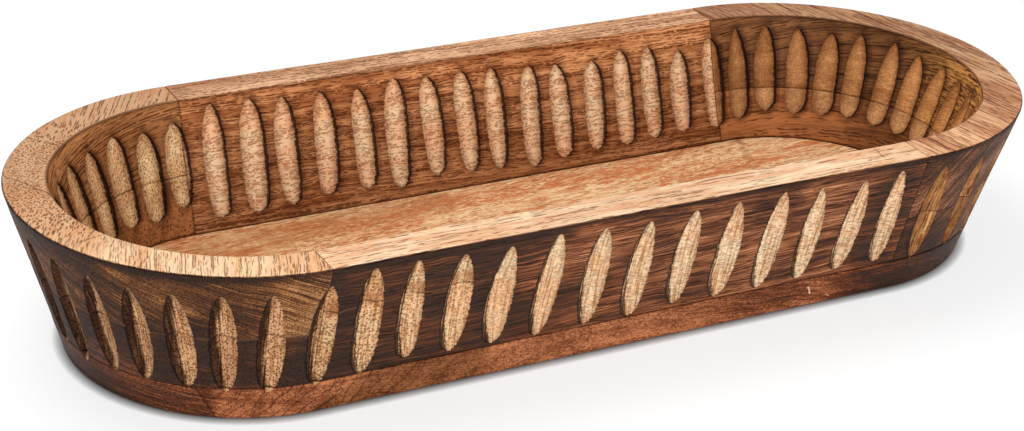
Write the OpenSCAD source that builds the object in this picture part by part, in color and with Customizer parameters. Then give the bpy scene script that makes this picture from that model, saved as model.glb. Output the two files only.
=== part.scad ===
// Long carved dough bowl, glued up from wooden blocks and sawn to a flared outline with round ends.
// Millimetres, +Z up, origin on the table under the middle of the bowl, long side along X.

/* [Bowl] */
// Overall length over the rim
bowl_len = 480; // [400:5:640]
// Overall width over the rim
bowl_w = 200; // [180:2:260]
// Height of the rim above the table
bowl_h = 75; // [66:1:100]
// Width of the rim, across the wall
rim_t = 18.5; // [15:0.5:24]
// Lean of the outer face from upright, in degrees
outer_lean = 16.5; // [8:0.5:20]
// Lean of the inner face from upright, in degrees
inner_lean = 18; // [8:0.5:20]

/* [Base] */
// Thickness of the base boards
base_t = 16.5; // [12:0.5:22]
// Radius of the rounded bottom edge
foot_round = 3; // [1:0.5:5]
// Width of the strip glued to the front edge of the base board, along the top of the base
strip_w = 15.5; // [8:0.5:30]

/* [Blocks] */
// How far the front plank runs on into the left round end
front_plank_over = 3.5; // [0.5:0.5:8]
// How far the back plank stops short of the left round end
back_plank_short = 0.5; // [0.5:0.5:8]
// How far both planks stop short of the right round end
right_plank_short = 2.5; // [0.5:0.5:8]
// Height of the lower block of the left end
left_lower_h = 26; // [18:0.5:34]
// Height of the lower block of the right end
right_lower_h = 24; // [18:0.5:34]

/* [Outer flutes] */
// Distance between the flutes along the straight outer walls
out_pitch = 20.8; // [16:0.1:30]
// Number of flutes round each end, outside
out_end_count = 16; // [8:1:18]
// Angle from the start of a round end to its first outer flute
out_end_start = 4; // [3:0.5:9]
// Width of an outer flute at its middle
out_flute_w = 12.5; // [8:0.5:14]
// Depth of an outer flute at its middle
out_flute_d = 2.8; // [1.5:0.1:4]
// Drop from the rim to the tops of the outer flutes along the straight walls
out_top_gap = 6; // [4:0.5:14]
// Drop from the rim to the tops of the outer flutes round the ends
out_end_top_gap = 10; // [4:0.5:14]
// Height of the lower tips of the outer flutes above the base
out_foot_gap = 2.5; // [1:0.5:12]

/* [Inner flutes] */
// Distance between the flutes along the straight inner walls
in_pitch = 17.4; // [14:0.1:26]
// Shift of the inner flutes along the walls, in the turning sense of the carver
in_shift = 4.6; // [0:0.2:6]
// Number of flutes round each end, inside
in_end_count = 15; // [8:1:16]
// Angle from the start of a round end to its first inner flute
in_end_start = 9.4; // [6:0.2:12]
// Angle from the last inner flute of a round end to the next wall
in_end_stop = 4; // [3:0.2:9]
// Width of an inner flute at its middle
in_flute_w = 11.5; // [7:0.5:12.5]
// Depth of an inner flute at its middle
in_flute_d = 2.8; // [1.5:0.1:4]
// Drop from the rim to the tops of the inner flutes
in_top_gap = 8.5; // [4:0.5:14]
// Height of the lower tips of the inner flutes above the floor along the straight walls
in_foot_gap = 6.5; // [2:0.5:14]
// Height of the lower tips of the inner flutes above the floor round the ends
in_end_foot_gap = 12; // [2:0.5:16]

/* [Carving] */
// Most that a hand-cut flute runs longer or shorter at either tip
hand_vary = 1.5; // [0:0.5:2]
// Seed of the hand-cut differences
hand_seed = 7; // [1:1:99]

/* [Hidden] */

burnt_wood = [0.30, 0.19, 0.12];
tan_wood = [0.68, 0.46, 0.27];
red_wood = [0.52, 0.30, 0.17];

// Round ends are half circles, so the straight walls take what the length leaves
half_w = bowl_w / 2;
straight = bowl_len - bowl_w;
half_straight = straight / 2;

// Distance from the long axis to each face of the wall at height z
function outer_at(z) = half_w - (bowl_h - z) * tan(outer_lean);
function inner_at(z) = half_w - rim_t - (bowl_h - z) * tan(inner_lean);

strip_seam_y = -(outer_at(base_t) - strip_w);
front_left_seam = -(half_straight + front_plank_over);
back_left_seam = -(half_straight - back_plank_short);
right_seam = half_straight - right_plank_short;
left_split_z = base_t + left_lower_h;
right_split_z = base_t + right_lower_h;

// Cutting blocks reach past the bowl by this much
past = 10;
reach_x = bowl_len / 2 + past;
reach_y = half_w + past;

$fa = 2;
$fs = 0.6;
// Steps of the small arc that rounds the bottom edge
round_steps = 6;

// Each straight run takes as many flutes as its pitch allows, centred on the wall
out_count = floor(straight / out_pitch);
in_count = floor(straight / in_pitch);
out_end_step = (180 - 2 * out_end_start) / (out_end_count - 1);
in_end_step = (180 - in_end_start - in_end_stop) / (in_end_count - 1);

// A flute's station is [x of the centre it faces away from, heading of its wall, 1 if on a round end]
out_stations = concat(
    [for (i = [0 : out_count - 1]) [(i - (out_count - 1) / 2) * out_pitch, -90, 0]],
    [for (i = [0 : out_end_count - 1]) [half_straight, -90 + out_end_start + i * out_end_step, 1]],
    [for (i = [0 : out_count - 1]) [((out_count - 1) / 2 - i) * out_pitch, 90, 0]],
    [for (i = [0 : out_end_count - 1]) [-half_straight, 90 + out_end_start + i * out_end_step, 1]]
);
in_stations = concat(
    [for (i = [0 : in_count - 1]) [(i - (in_count - 1) / 2) * in_pitch - in_shift, -90, 0]],
    [for (i = [0 : in_end_count - 1]) [half_straight, -90 + in_end_stop + i * in_end_step, 1]],
    [for (i = [0 : in_count - 1]) [((in_count - 1) / 2 - i) * in_pitch + in_shift, 90, 0]],
    [for (i = [0 : in_end_count - 1]) [-half_straight, 90 + in_end_stop + i * in_end_step, 1]]
);

out_top_vary = rands(-hand_vary, hand_vary, len(out_stations), hand_seed);
out_foot_vary = rands(0, hand_vary, len(out_stations), hand_seed + 1);
in_top_vary = rands(-hand_vary, hand_vary, len(in_stations), hand_seed + 2);
in_foot_vary = rands(-hand_vary, hand_vary, len(in_stations), hand_seed + 3);

// Radius of the circle through the ends of a chord, where the arc stands rise above the chord
function arc_radius(chord, rise) = (chord * chord / (4 * rise) + rise) / 2;

function on_end(station) = station[2] == 1;

// Cross-section of the wall, standing on the base, with X as the distance from the long axis
module wall_section() {
    polygon([
        [inner_at(base_t), base_t],
        [outer_at(base_t), base_t],
        [half_w, bowl_h],
        [half_w - rim_t, bowl_h]
    ]);
}

// Half cross-section of the base, its outer edge in line with the wall above
module base_section() {
    centre_x = outer_at(foot_round) - foot_round / cos(outer_lean);
    polygon(concat(
        [[0, 0]],
        [for (i = [0 : round_steps])
            let (turn = -90 + i * (90 - outer_lean) / round_steps)
            [centre_x + foot_round * cos(turn), foot_round + foot_round * sin(turn)]],
        [[outer_at(base_t), base_t], [0, base_t]]
    ));
}

// Carries a half cross-section round the bowl: along both straight walls and round both ends
module carry_round() {
    for (side = [-1, 1])
        translate([-side * half_straight, 0, 0])
            rotate([90, 0, side * 90])
                linear_extrude(straight)
                    children();
    for (side = [-1, 1])
        translate([side * half_straight, 0, 0])
            rotate(-side * 90)
                rotate_extrude(angle = 180, $fa = 1)
                    children();
}

// Gouge stroke: a round gouge of the flute's width that swings in and out of the wood.
// The local origin is the middle of the flute on the wall, X points out of the wood, Z along the flute.
module gouge_stroke(length, width, depth) {
    gouge_r = arc_radius(width, depth);
    swing_r = arc_radius(length, depth);
    half_turn = asin(length / 2 / swing_r) + 4;
    translate([swing_r - depth, 0, 0])
        rotate([90, 0, 0])
            rotate_extrude(angle = 2 * half_turn, start = 180 - half_turn, $fa = 1)
                translate([swing_r - gouge_r, 0])
                    circle(gouge_r, $fa = 6, $fs = 0.3);
}

// Puts a stroke on the wall at a station, from z_foot up to z_top; facing is 1 outside and -1 inside
module flute(station, z_foot, z_top, lean, wall_x, facing, width, depth) {
    translate([station[0], 0, 0])
        rotate(station[1])
            translate([wall_x, 0, (z_foot + z_top) / 2])
                rotate([0, lean, 0])
                    rotate(facing > 0 ? 0 : 180)
                        gouge_stroke((z_top - z_foot) / cos(lean), width, depth);
}

module outer_flute(i) {
    station = out_stations[i];
    z_top = bowl_h - (on_end(station) ? out_end_top_gap : out_top_gap) + out_top_vary[i];
    z_foot = base_t + out_foot_gap + out_foot_vary[i];
    flute(station, z_foot, z_top, outer_lean, outer_at((z_foot + z_top) / 2), 1, out_flute_w, out_flute_d);
}

module inner_flute(i) {
    station = in_stations[i];
    z_top = bowl_h - in_top_gap + in_top_vary[i];
    z_foot = base_t + (on_end(station) ? in_end_foot_gap : in_foot_gap) + in_foot_vary[i];
    flute(station, z_foot, z_top, inner_lean, inner_at((z_foot + z_top) / 2), -1, in_flute_w, in_flute_d);
}

// Where a flute sits in plan, for a wall that lies r away from the centre it faces away from
function plan_x(station, r) = station[0] + r * cos(station[1]);
function plan_y(station, r) = r * sin(station[1]);
function within(x, y, box) = x > box[0] && x < box[2] && y > box[1] && y < box[3];

// Flutes that touch the plan box [x least, y least, x most, y most]
module flutes_in(box) {
    grown = [box[0] - out_flute_w, box[1] - out_flute_w, box[2] + out_flute_w, box[3] + out_flute_w];
    for (i = [0 : len(out_stations) - 1])
        if (within(plan_x(out_stations[i], half_w), plan_y(out_stations[i], half_w), grown))
            outer_flute(i);
    for (i = [0 : len(in_stations) - 1])
        if (within(plan_x(in_stations[i], half_w), plan_y(in_stations[i], half_w), grown))
            inner_flute(i);
}

// Part of the ring of walls inside a plan box and between two heights
module ring_part(box, z_low, z_high) {
    intersection() {
        carry_round() wall_section();
        translate([box[0], box[1], z_low])
            cube([box[2] - box[0], box[3] - box[1], z_high - z_low]);
    }
}

module front_wall() {
    box = [front_left_seam, -reach_y, right_seam, 0];
    color(burnt_wood)
        difference() {
            ring_part(box, base_t, bowl_h);
            flutes_in(box);
        }
}

module back_wall() {
    box = [back_left_seam, 0, right_seam, reach_y];
    color(burnt_wood)
        difference() {
            ring_part(box, base_t, bowl_h);
            flutes_in(box);
        }
}

// The left end meets the front plank further out than the back plank
module left_end(z_low, z_high) {
    front_box = [-reach_x, -reach_y, front_left_seam, 0];
    back_box = [-reach_x, 0, back_left_seam, reach_y];
    difference() {
        union() {
            ring_part(front_box, z_low, z_high);
            ring_part(back_box, z_low, z_high);
        }
        flutes_in([-reach_x, -reach_y, back_left_seam, reach_y]);
    }
}

module right_end(z_low, z_high) {
    box = [right_seam, -reach_y, reach_x, reach_y];
    difference() {
        ring_part(box, z_low, z_high);
        flutes_in(box);
    }
}

module left_end_upper() {
    color(tan_wood) left_end(left_split_z, bowl_h);
}

module left_end_lower() {
    color(burnt_wood) left_end(base_t, left_split_z);
}

module right_end_upper() {
    color(tan_wood) right_end(right_split_z, bowl_h);
}

module right_end_lower() {
    color(burnt_wood) right_end(base_t, right_split_z);
}

module base_board() {
    color(tan_wood)
        intersection() {
            carry_round() base_section();
            translate([-reach_x, strip_seam_y, 0])
                cube([2 * reach_x, reach_y - strip_seam_y, base_t]);
        }
}

module base_front_strip() {
    color(red_wood)
        intersection() {
            carry_round() base_section();
            translate([-reach_x, -reach_y, 0])
                cube([2 * reach_x, strip_seam_y + reach_y, base_t]);
        }
}

front_wall();
back_wall();
left_end_upper();
left_end_lower();
right_end_upper();
right_end_lower();
base_board();
base_front_strip();
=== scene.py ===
# %% [markdown]
# # A fluted dough bowl
#
# The real thing is a long wooden bowl, glued up from planks and blocks, turned outwards like a boat
# and carved all round with upright flutes. The solids come from the construction model, so this
# lesson starts by loading them as a fixed frame. Everything made here sits in that same frame, in
# metres. The box of the solids is kept at once, because it shrinks or grows with whatever is shown.

# %% Load the frame
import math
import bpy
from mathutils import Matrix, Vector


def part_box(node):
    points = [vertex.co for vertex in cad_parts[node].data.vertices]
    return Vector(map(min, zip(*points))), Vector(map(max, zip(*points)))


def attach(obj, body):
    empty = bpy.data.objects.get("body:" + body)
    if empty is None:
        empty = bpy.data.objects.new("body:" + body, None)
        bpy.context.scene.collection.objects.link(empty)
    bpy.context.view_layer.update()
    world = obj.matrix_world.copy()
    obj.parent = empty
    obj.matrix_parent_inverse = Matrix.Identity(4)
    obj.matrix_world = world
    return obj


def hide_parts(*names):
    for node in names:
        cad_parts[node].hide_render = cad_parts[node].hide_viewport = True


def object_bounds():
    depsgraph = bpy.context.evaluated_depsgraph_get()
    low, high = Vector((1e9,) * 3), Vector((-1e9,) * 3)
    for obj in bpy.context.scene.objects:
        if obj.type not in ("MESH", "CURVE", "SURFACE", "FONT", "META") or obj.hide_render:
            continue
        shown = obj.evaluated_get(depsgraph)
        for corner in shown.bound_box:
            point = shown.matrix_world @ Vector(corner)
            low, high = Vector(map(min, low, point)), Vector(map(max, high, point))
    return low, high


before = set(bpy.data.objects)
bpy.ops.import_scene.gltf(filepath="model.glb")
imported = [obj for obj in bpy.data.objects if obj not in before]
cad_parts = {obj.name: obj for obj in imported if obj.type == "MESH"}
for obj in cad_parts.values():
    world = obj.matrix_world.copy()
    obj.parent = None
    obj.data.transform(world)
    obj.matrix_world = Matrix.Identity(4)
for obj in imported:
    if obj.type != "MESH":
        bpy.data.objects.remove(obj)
cad_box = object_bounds()

# %% Tools of the lesson
from types import SimpleNamespace

import bpy
import numpy as np
from mathutils import Matrix, Vector

MM = 0.001
print("frame nodes:", ", ".join(sorted(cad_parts)))

# %% [markdown]
# ## Taking the sizes off the solids
#
# A maker measures the blank before carving it. The same is done here: every size that the solids
# can give is read from their boxes, in millimetres, so that the carved pieces land on the joints.
# Seen from above the bowl is a stadium: two straight walls and two half circles. The walls lean
# outwards, so a wall is described by its distance from the long middle line at each height.

# %% Measure the blank
RIM_WIDTH = 18.5


def box_mm(node):
    """Lowest and highest corner of a solid, in millimetres."""
    low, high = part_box(node)
    return np.array(low) / MM, np.array(high) / MM


low_corner = np.array(cad_box[0]) / MM
high_corner = np.array(cad_box[1]) / MM
HEIGHT = high_corner[2]
HALF_WIDTH = high_corner[1]
HALF_STRAIGHT = (high_corner[0] - low_corner[0]) / 2 - HALF_WIDTH
base_high = box_mm("base_board")[1]
front_low, front_high = box_mm("front_wall")
back_low, back_high = box_mm("back_wall")
FLOOR_Z = base_high[2]
FOOT_HALF = base_high[1]
FLOOR_HALF = -front_high[1]
OUTER_SLOPE = (HALF_WIDTH - FOOT_HALF) / (HEIGHT - FLOOR_Z)
INNER_SLOPE = (HALF_WIDTH - RIM_WIDTH - FLOOR_HALF) / (HEIGHT - FLOOR_Z)
LEFT_SPLIT = box_mm("left_end_lower")[1][2]
RIGHT_SPLIT = box_mm("right_end_lower")[1][2]
STRIP_SEAM = box_mm("base_front_strip")[1][1]
SEAMS = {"front": (front_low[0], front_high[0]), "back": (back_low[0], back_high[0])}
print("height %.1f, half width %.1f, straight half %.1f" % (HEIGHT, HALF_WIDTH, HALF_STRAIGHT))
print("floor at %.1f, splits at %.1f and %.1f" % (FLOOR_Z, LEFT_SPLIT, RIGHT_SPLIT))
print("strip seam at %.1f, plank seams" % STRIP_SEAM, SEAMS)


def outer_reach(z):
    """How far the outside of the wall stands from the middle line at a height."""
    return HALF_WIDTH - (HEIGHT - z) * OUTER_SLOPE


def inner_reach(z):
    """How far the inside of the wall stands from the middle line at a height."""
    return HALF_WIDTH - RIM_WIDTH - (HEIGHT - z) * INNER_SLOPE


# %% [markdown]
# ## The camera
#
# The picture was taken from the front left, about 25 degrees above the table, with a longish lens,
# so the far end looks hardly smaller than the near one. A camera is easiest to set up by the point
# that it looks at, its distance, and three angles; the camera's own axes follow from those.

# %% Set up the camera
IMAGE_WIDTH = 1024
FOCAL_PIXELS = 2385.5
SENSOR_MM = 36.0
LOOK_AT = Vector((-22.5, -17.6, 40.0)) * MM
CAMERA_DISTANCE = 1044.6 * MM
TURN = math.radians(-28.41)
RISE = math.radians(25.12)
ROLL = math.radians(2.454)

backwards = Vector((math.sin(TURN) * math.cos(RISE), -math.cos(TURN) * math.cos(RISE), math.sin(RISE)))
level = Vector((0, 0, 1)).cross(backwards).normalized()
upright = backwards.cross(level)
camera_right = math.cos(ROLL) * level + math.sin(ROLL) * upright
camera_up = math.cos(ROLL) * upright - math.sin(ROLL) * level
camera_data = bpy.data.cameras.new("bowl_camera")
camera_data.sensor_width = SENSOR_MM
camera_data.lens = SENSOR_MM * FOCAL_PIXELS / IMAGE_WIDTH
camera = bpy.data.objects.new("bowl_camera", camera_data)
camera.matrix_world = Matrix((camera_right, camera_up, backwards)).transposed().to_4x4()
camera.location = LOOK_AT + backwards * CAMERA_DISTANCE
bpy.context.scene.collection.objects.link(camera)
bpy.context.scene.camera = camera
print("lens %.1f mm, camera at" % camera_data.lens, [round(v, 3) for v in camera.location])

# %% [markdown]
# ## Small helpers for shader nodes
#
# A material is a tree of nodes. A few small helpers keep the trees short to read: one plugs a value
# or another node's socket into a socket, two make a grey or a colour from the three numbers that an
# image editor shows, and one adds a node and feeds its inputs by name. They all work on the tree that
# lies on the desk at the time, so it need not be named in every call.

# %% Node helpers
desk = SimpleNamespace(tree=None)


def open_tree(owner):
    """Lays the emptied node tree of a material or a world on the desk."""
    owner.use_nodes = True
    desk.tree = owner.node_tree
    desk.tree.nodes.clear()


def feed(socket, value):
    """Links a socket to a socket, or writes a plain value into it."""
    if isinstance(value, bpy.types.NodeSocket):
        desk.tree.links.new(value, socket)
    else:
        socket.default_value = value


def grey(level):
    """A plain grey in linear light."""
    return (level, level, level, 1.0)


def paint(red, green, blue):
    """A colour as an image editor shows it, turned into the linear light that shaders use."""
    shown = np.array((red, green, blue)) / 255
    linear = np.where(shown <= 0.04045, shown / 12.92, ((shown + 0.055) / 1.055) ** 2.4)
    return (*linear.tolist(), 1.0)


def add_node(kind, settings=None, **inputs):
    """Adds a node, sets its plain settings and feeds the inputs that are named."""
    node = desk.tree.nodes.new("ShaderNode" + kind)
    for name, value in (settings or {}).items():
        setattr(node, name, value)
    for name, value in inputs.items():
        feed(node.inputs[name.replace("_", " ")], value)
    return node


print("white is", paint(255, 255, 255))

# %% [markdown]
# ## Floor and light
#
# The bowl stands on a white sweep under large soft lamps: one broad lamp overhead, a little to the
# back, which drops the shadow in front of the bowl, and a low one in front for the outside. The floor
# has to look white to the camera and still show the soft shadow under the bowl. So the camera sees a mix
# of a diffuse surface, which takes the wide shadow, and a glow, while all other light meets a plain pale
# floor. A glow would hide the narrow dark line where the bowl meets the floor, so it fades where something
# stands close by: the ambient occlusion node measures that.

# %% Telling rays apart


def seen_by(first, second):
    """1 for two kinds of ray, such as those from the camera, and 0 for all others."""
    path = add_node("LightPath")
    seen = add_node("Math", {"operation": "MAXIMUM"})
    feed(seen.inputs[0], path.outputs[first])
    feed(seen.inputs[1], path.outputs[second])
    return seen.outputs[0]


def choose(which, first, second):
    """The first shader where the choice is 0, and the second where it is 1."""
    node = add_node("MixShader", Fac=which)
    feed(node.inputs[1], first.outputs[0])
    feed(node.inputs[2], second.outputs[0])
    return node.outputs[0]


print("mid grey is", grey(0.5))

# %% The floor
FLOOR_SIZE = 12.0
FLOOR_GLOW = 0.74
FLOOR_SHADE = 0.29
FLOOR_PLAIN = 0.8
CONTACT_REACH = 0.0048
CONTACT_DEPTH = 2.0

floor_mesh = bpy.data.meshes.new("studio_floor")
half = FLOOR_SIZE / 2
corners = [(-half, -half, 0), (half, -half, 0), (half, half, 0), (-half, half, 0)]
floor_mesh.from_pydata(corners, [], [(0, 1, 2, 3)])
floor = bpy.data.objects.new("studio_floor", floor_mesh)
bpy.context.scene.collection.objects.link(floor)

floor_paper = bpy.data.materials.new("studio_paper")
open_tree(floor_paper)
contact = add_node("AmbientOcclusion", Color=grey(1.0), Distance=CONTACT_REACH)
contact = add_node("Gamma", Color=contact.outputs["Color"], Gamma=CONTACT_DEPTH)
shade = add_node("BsdfDiffuse", Color=grey(FLOOR_SHADE))
glow = add_node("Emission", Color=contact.outputs[0], Strength=FLOOR_GLOW)
both = add_node("AddShader")
feed(both.inputs[0], shade.outputs[0])
feed(both.inputs[1], glow.outputs[0])
plain = add_node("BsdfDiffuse", Color=grey(FLOOR_PLAIN))
paper = choose(seen_by("Is Camera Ray", "Is Glossy Ray"), plain, both)
add_node("OutputMaterial", Surface=paper)
floor_mesh.materials.append(floor_paper)
print("floor glow", FLOOR_GLOW, "and shade", FLOOR_SHADE)

# %% Lamps and world
WORLD_LEVEL = 0.52
KEY_WATTS = 9.5
KEY_PLACE = (-0.25, 0.4, 1.3)
KEY_SIZE = 0.8
FILL_WATTS = 14.5
FILL_PLACE = (-0.4, -1.5, 0.5)
FILL_SIZE = 0.7
LAMP_AIM = (0, 0, 0.04)

world = bpy.data.worlds.new("studio")
bpy.context.scene.world = world
open_tree(world)
dim = add_node("Background", Color=grey(1.0), Strength=WORLD_LEVEL)
white = add_node("Background", Color=grey(1.0), Strength=1.0)
sky = choose(seen_by("Is Camera Ray", "Is Transmission Ray"), dim, white)
add_node("OutputWorld", Surface=sky)


def soft_lamp(name, place, size, watts):
    """A square soft box that points at the middle of the bowl."""
    data = bpy.data.lights.new(name, "AREA")
    data.shape = "SQUARE"
    data.size = size
    data.energy = watts
    lamp = bpy.data.objects.new(name, data)
    lamp.location = place
    aim = Vector(LAMP_AIM) - lamp.location
    lamp.rotation_euler = aim.to_track_quat("-Z", "Y").to_euler()
    bpy.context.scene.collection.objects.link(lamp)


soft_lamp("overhead_lamp", KEY_PLACE, KEY_SIZE, KEY_WATTS)
soft_lamp("front_fill_lamp", FILL_PLACE, FILL_SIZE, FILL_WATTS)
bpy.context.scene.view_settings.view_transform = "Standard"
print("lamps:", KEY_WATTS, "W overhead,", FILL_WATTS, "W from the front")

# %% [markdown]
# ## Where the flutes sit
#
# Each flute is one run of a gouge up the wall. The carver stepped round the bowl by eye, so the steps
# are even but drift a little, and each cut starts, leans and bites differently. A flute is kept here as
# a place on the plan (a centre on the middle line and the heading from it), two heights, a width and a
# depth, with the shape of its two ends. A seeded random generator makes the unevenness, so the same bowl
# comes out every time.

# %% One row of flutes
CARVER_SEED = 390199
SHIFT_VARY = 1.1
WIDTH_VARY = (0.92, 1.08)
DEPTH_VARY = (0.85, 1.1)
LEAN_VARY = 0.03
BOW_VARY = 0.7
STEEP_VARY = 0.07
END_VARY = (0.8, 1.2)
draw = np.random.default_rng(CARVER_SEED)


def flute_row(centres, headings, foot, top, vary, width, depth, ends, steep):
    """One row of flutes, with the unevenness of hand work; steep is where the deepest line lies."""
    count = max(np.size(centres), np.size(headings))
    row = {
        "centre": np.broadcast_to(centres, count),
        "heading": np.radians(np.broadcast_to(headings, count)),
        "foot": foot + draw.uniform(-vary, vary, count),
        "top": top + draw.uniform(-vary, vary, count),
        "shift": draw.uniform(-SHIFT_VARY, SHIFT_VARY, count),
        "half": width / 2 * draw.uniform(*WIDTH_VARY, count),
        "depth": depth * draw.uniform(*DEPTH_VARY, count),
        "lean": draw.uniform(-LEAN_VARY, LEAN_VARY, count),
        "bow": draw.uniform(-BOW_VARY, BOW_VARY, count),
        "tone": draw.uniform(0, 1, count),
        "steep": steep + draw.uniform(-STEEP_VARY, STEEP_VARY, count),
    }
    for key, value in ends.items():
        row[key] = value * draw.uniform(*END_VARY, count)
    return row


def join_rows(rows):
    """Several rows of flutes as one."""
    return {key: np.concatenate([row[key] for row in rows]) for key in rows[0]}


def cut_ends(low_bend, low_end, low_round, high_bend, high_end, high_round):
    """The two ends of a flute: how the width falls off, the share left at the end, and its roundness."""
    return {
        "low_bend": low_bend,
        "low_end": low_end,
        "low_round": low_round,
        "high_bend": high_bend,
        "high_end": high_end,
        "high_round": high_round,
    }


print("the carver's hand is set by seed", CARVER_SEED)

# %% [markdown]
# ## Rows of flutes outside and inside
#
# Outside, thirteen flutes stand on each long wall, shaped like pods. Round the left end they are leaf
# shaped and run a little way down onto the base. Round the right end the carver took wider steps. Inside,
# the flutes are narrower at the bottom and blunt, like fingers, and bullet shaped at the right end. Their
# row drifts a little along the wall and its tops fall slowly towards the right. All sizes here are in
# millimetres and degrees.

# %% Outer flutes
OUT_PITCH = 20.8
OUT_PER_WALL = 13
DRIFT = 2.2
DRIFT_SPAN = 130.0
OUT_PER_LEFT = 16
LEFT_START = 4.0
LEFT_STEP = 11.48
FIRST_NEARER = 2.8
OUT_PER_RIGHT = 13
RIGHT_START = 5.5
RIGHT_STEP = 13.5
RIGHT_WIDER = 2.7
OUT_DEPTH = 2.8
POD_ENDS = cut_ends(3.0, 0.5, 14, 1.9, 0.34, 9)
LEAF_ENDS = cut_ends(3.0, 0.4, 12, 2.0, 0.3, 9)
pod = {"foot": 18.3, "top": 69.5, "vary": 2.1, "width": 11.2, "ends": POD_ENDS, "steep": -0.74}
right_leaf = {"foot": 17.0, "top": 65.5, "vary": 1.8, "width": 11.2, "ends": LEAF_ENDS, "steep": -0.3}
left_leaf = {"foot": 15.0, "top": 65.0, "vary": 2.0, "width": 11.0, "ends": LEAF_ENDS, "steep": -0.3}

wall_steps = (np.arange(OUT_PER_WALL) - (OUT_PER_WALL - 1) / 2) * OUT_PITCH
wall_steps = wall_steps + DRIFT * np.sin(math.pi * wall_steps / DRIFT_SPAN)
left_steps = -90 + LEFT_START + np.arange(OUT_PER_LEFT) * LEFT_STEP
left_steps[0] -= FIRST_NEARER
right_steps = -90 + RIGHT_START + np.arange(OUT_PER_RIGHT) * RIGHT_STEP
right_steps[1:] += RIGHT_WIDER
outer_flutes = join_rows([
    flute_row(wall_steps, -90.0, depth=OUT_DEPTH, **pod),
    flute_row(wall_steps, 90.0, depth=OUT_DEPTH, **pod),
    flute_row(HALF_STRAIGHT, right_steps, depth=OUT_DEPTH, **right_leaf),
    flute_row(-HALF_STRAIGHT, 180 - left_steps, depth=OUT_DEPTH, **left_leaf),
])
print(len(outer_flutes["centre"]), "flutes outside")

# %% Inner flutes
IN_PITCH = 17.4
IN_PER_WALL = 16
IN_SHIFT = 4.6
IN_DRIFT = 2.8
IN_TOP = 67.6
IN_TOP_FALL = 0.025
IN_PER_END = 15
IN_END_STEP = 11.9
IN_RIGHT_START = -83.6
IN_LEFT_START = 92.3
IN_DEPTH = 1.8
IN_LEFT_DEPTH = 1.5
FINGER_ENDS = cut_ends(2.6, 0.64, 16, 3.2, 0.7, 4.5)
BULLET_ENDS = cut_ends(5.0, 0.74, 12, 2.0, 0.42, 7)
finger = {"foot": 22.8, "vary": 2.0, "width": 11.2, "depth": IN_DEPTH, "ends": FINGER_ENDS, "steep": -0.82}
bullet = {"foot": 28.6, "top": 67.8, "vary": 2.0, "width": 11.2, "ends": BULLET_ENDS, "steep": -0.82}
left_finger = {"foot": 28.0, "top": 65.0, "vary": 2.0, "width": 11.4, "ends": FINGER_ENDS, "steep": -0.86}

inner_steps = (np.arange(IN_PER_WALL) - (IN_PER_WALL - 1) / 2) * IN_PITCH + IN_SHIFT
inner_steps = inner_steps + IN_DRIFT * np.sin(np.linspace(0, math.pi, IN_PER_WALL))
inner_tops = IN_TOP - IN_TOP_FALL * inner_steps
end_steps = np.arange(IN_PER_END) * IN_END_STEP
inner_flutes = join_rows([
    flute_row(inner_steps, 90.0, top=inner_tops, **finger),
    flute_row(-inner_steps, -90.0, top=inner_tops, **finger),
    flute_row(HALF_STRAIGHT, IN_RIGHT_START + end_steps, depth=IN_DEPTH, **bullet),
    flute_row(-HALF_STRAIGHT, IN_LEFT_START + end_steps, depth=IN_LEFT_DEPTH, **left_finger),
])
print(len(inner_flutes["centre"]), "flutes inside")

# %% [markdown]
# ## The shape of one cut
#
# The gouge went in at the foot, swept up the wall and left at a narrower top. It was held a little
# tilted, so one flank is steep and the other runs out gently; the steep flank is the one that lies in
# shadow. How far along the cut a point lies gives the half width there, and how far off the middle it
# lies gives the depth. The sum also gives the gap to the edge of the nearest flute, in millimetres. A gap
# is a smooth number, so the materials can later draw from it a crisp dark edge, part char and part
# painted shade, that is finer than the mesh.

# %% Cut depth
FAR_GAP = 9.0
RAGGED = 0.02
RIPPLES = ((0.61, 7, 1), (1.7, 3, 2))
SHALLOW_ENDS = 0.5
THINNEST = 0.05


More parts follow.
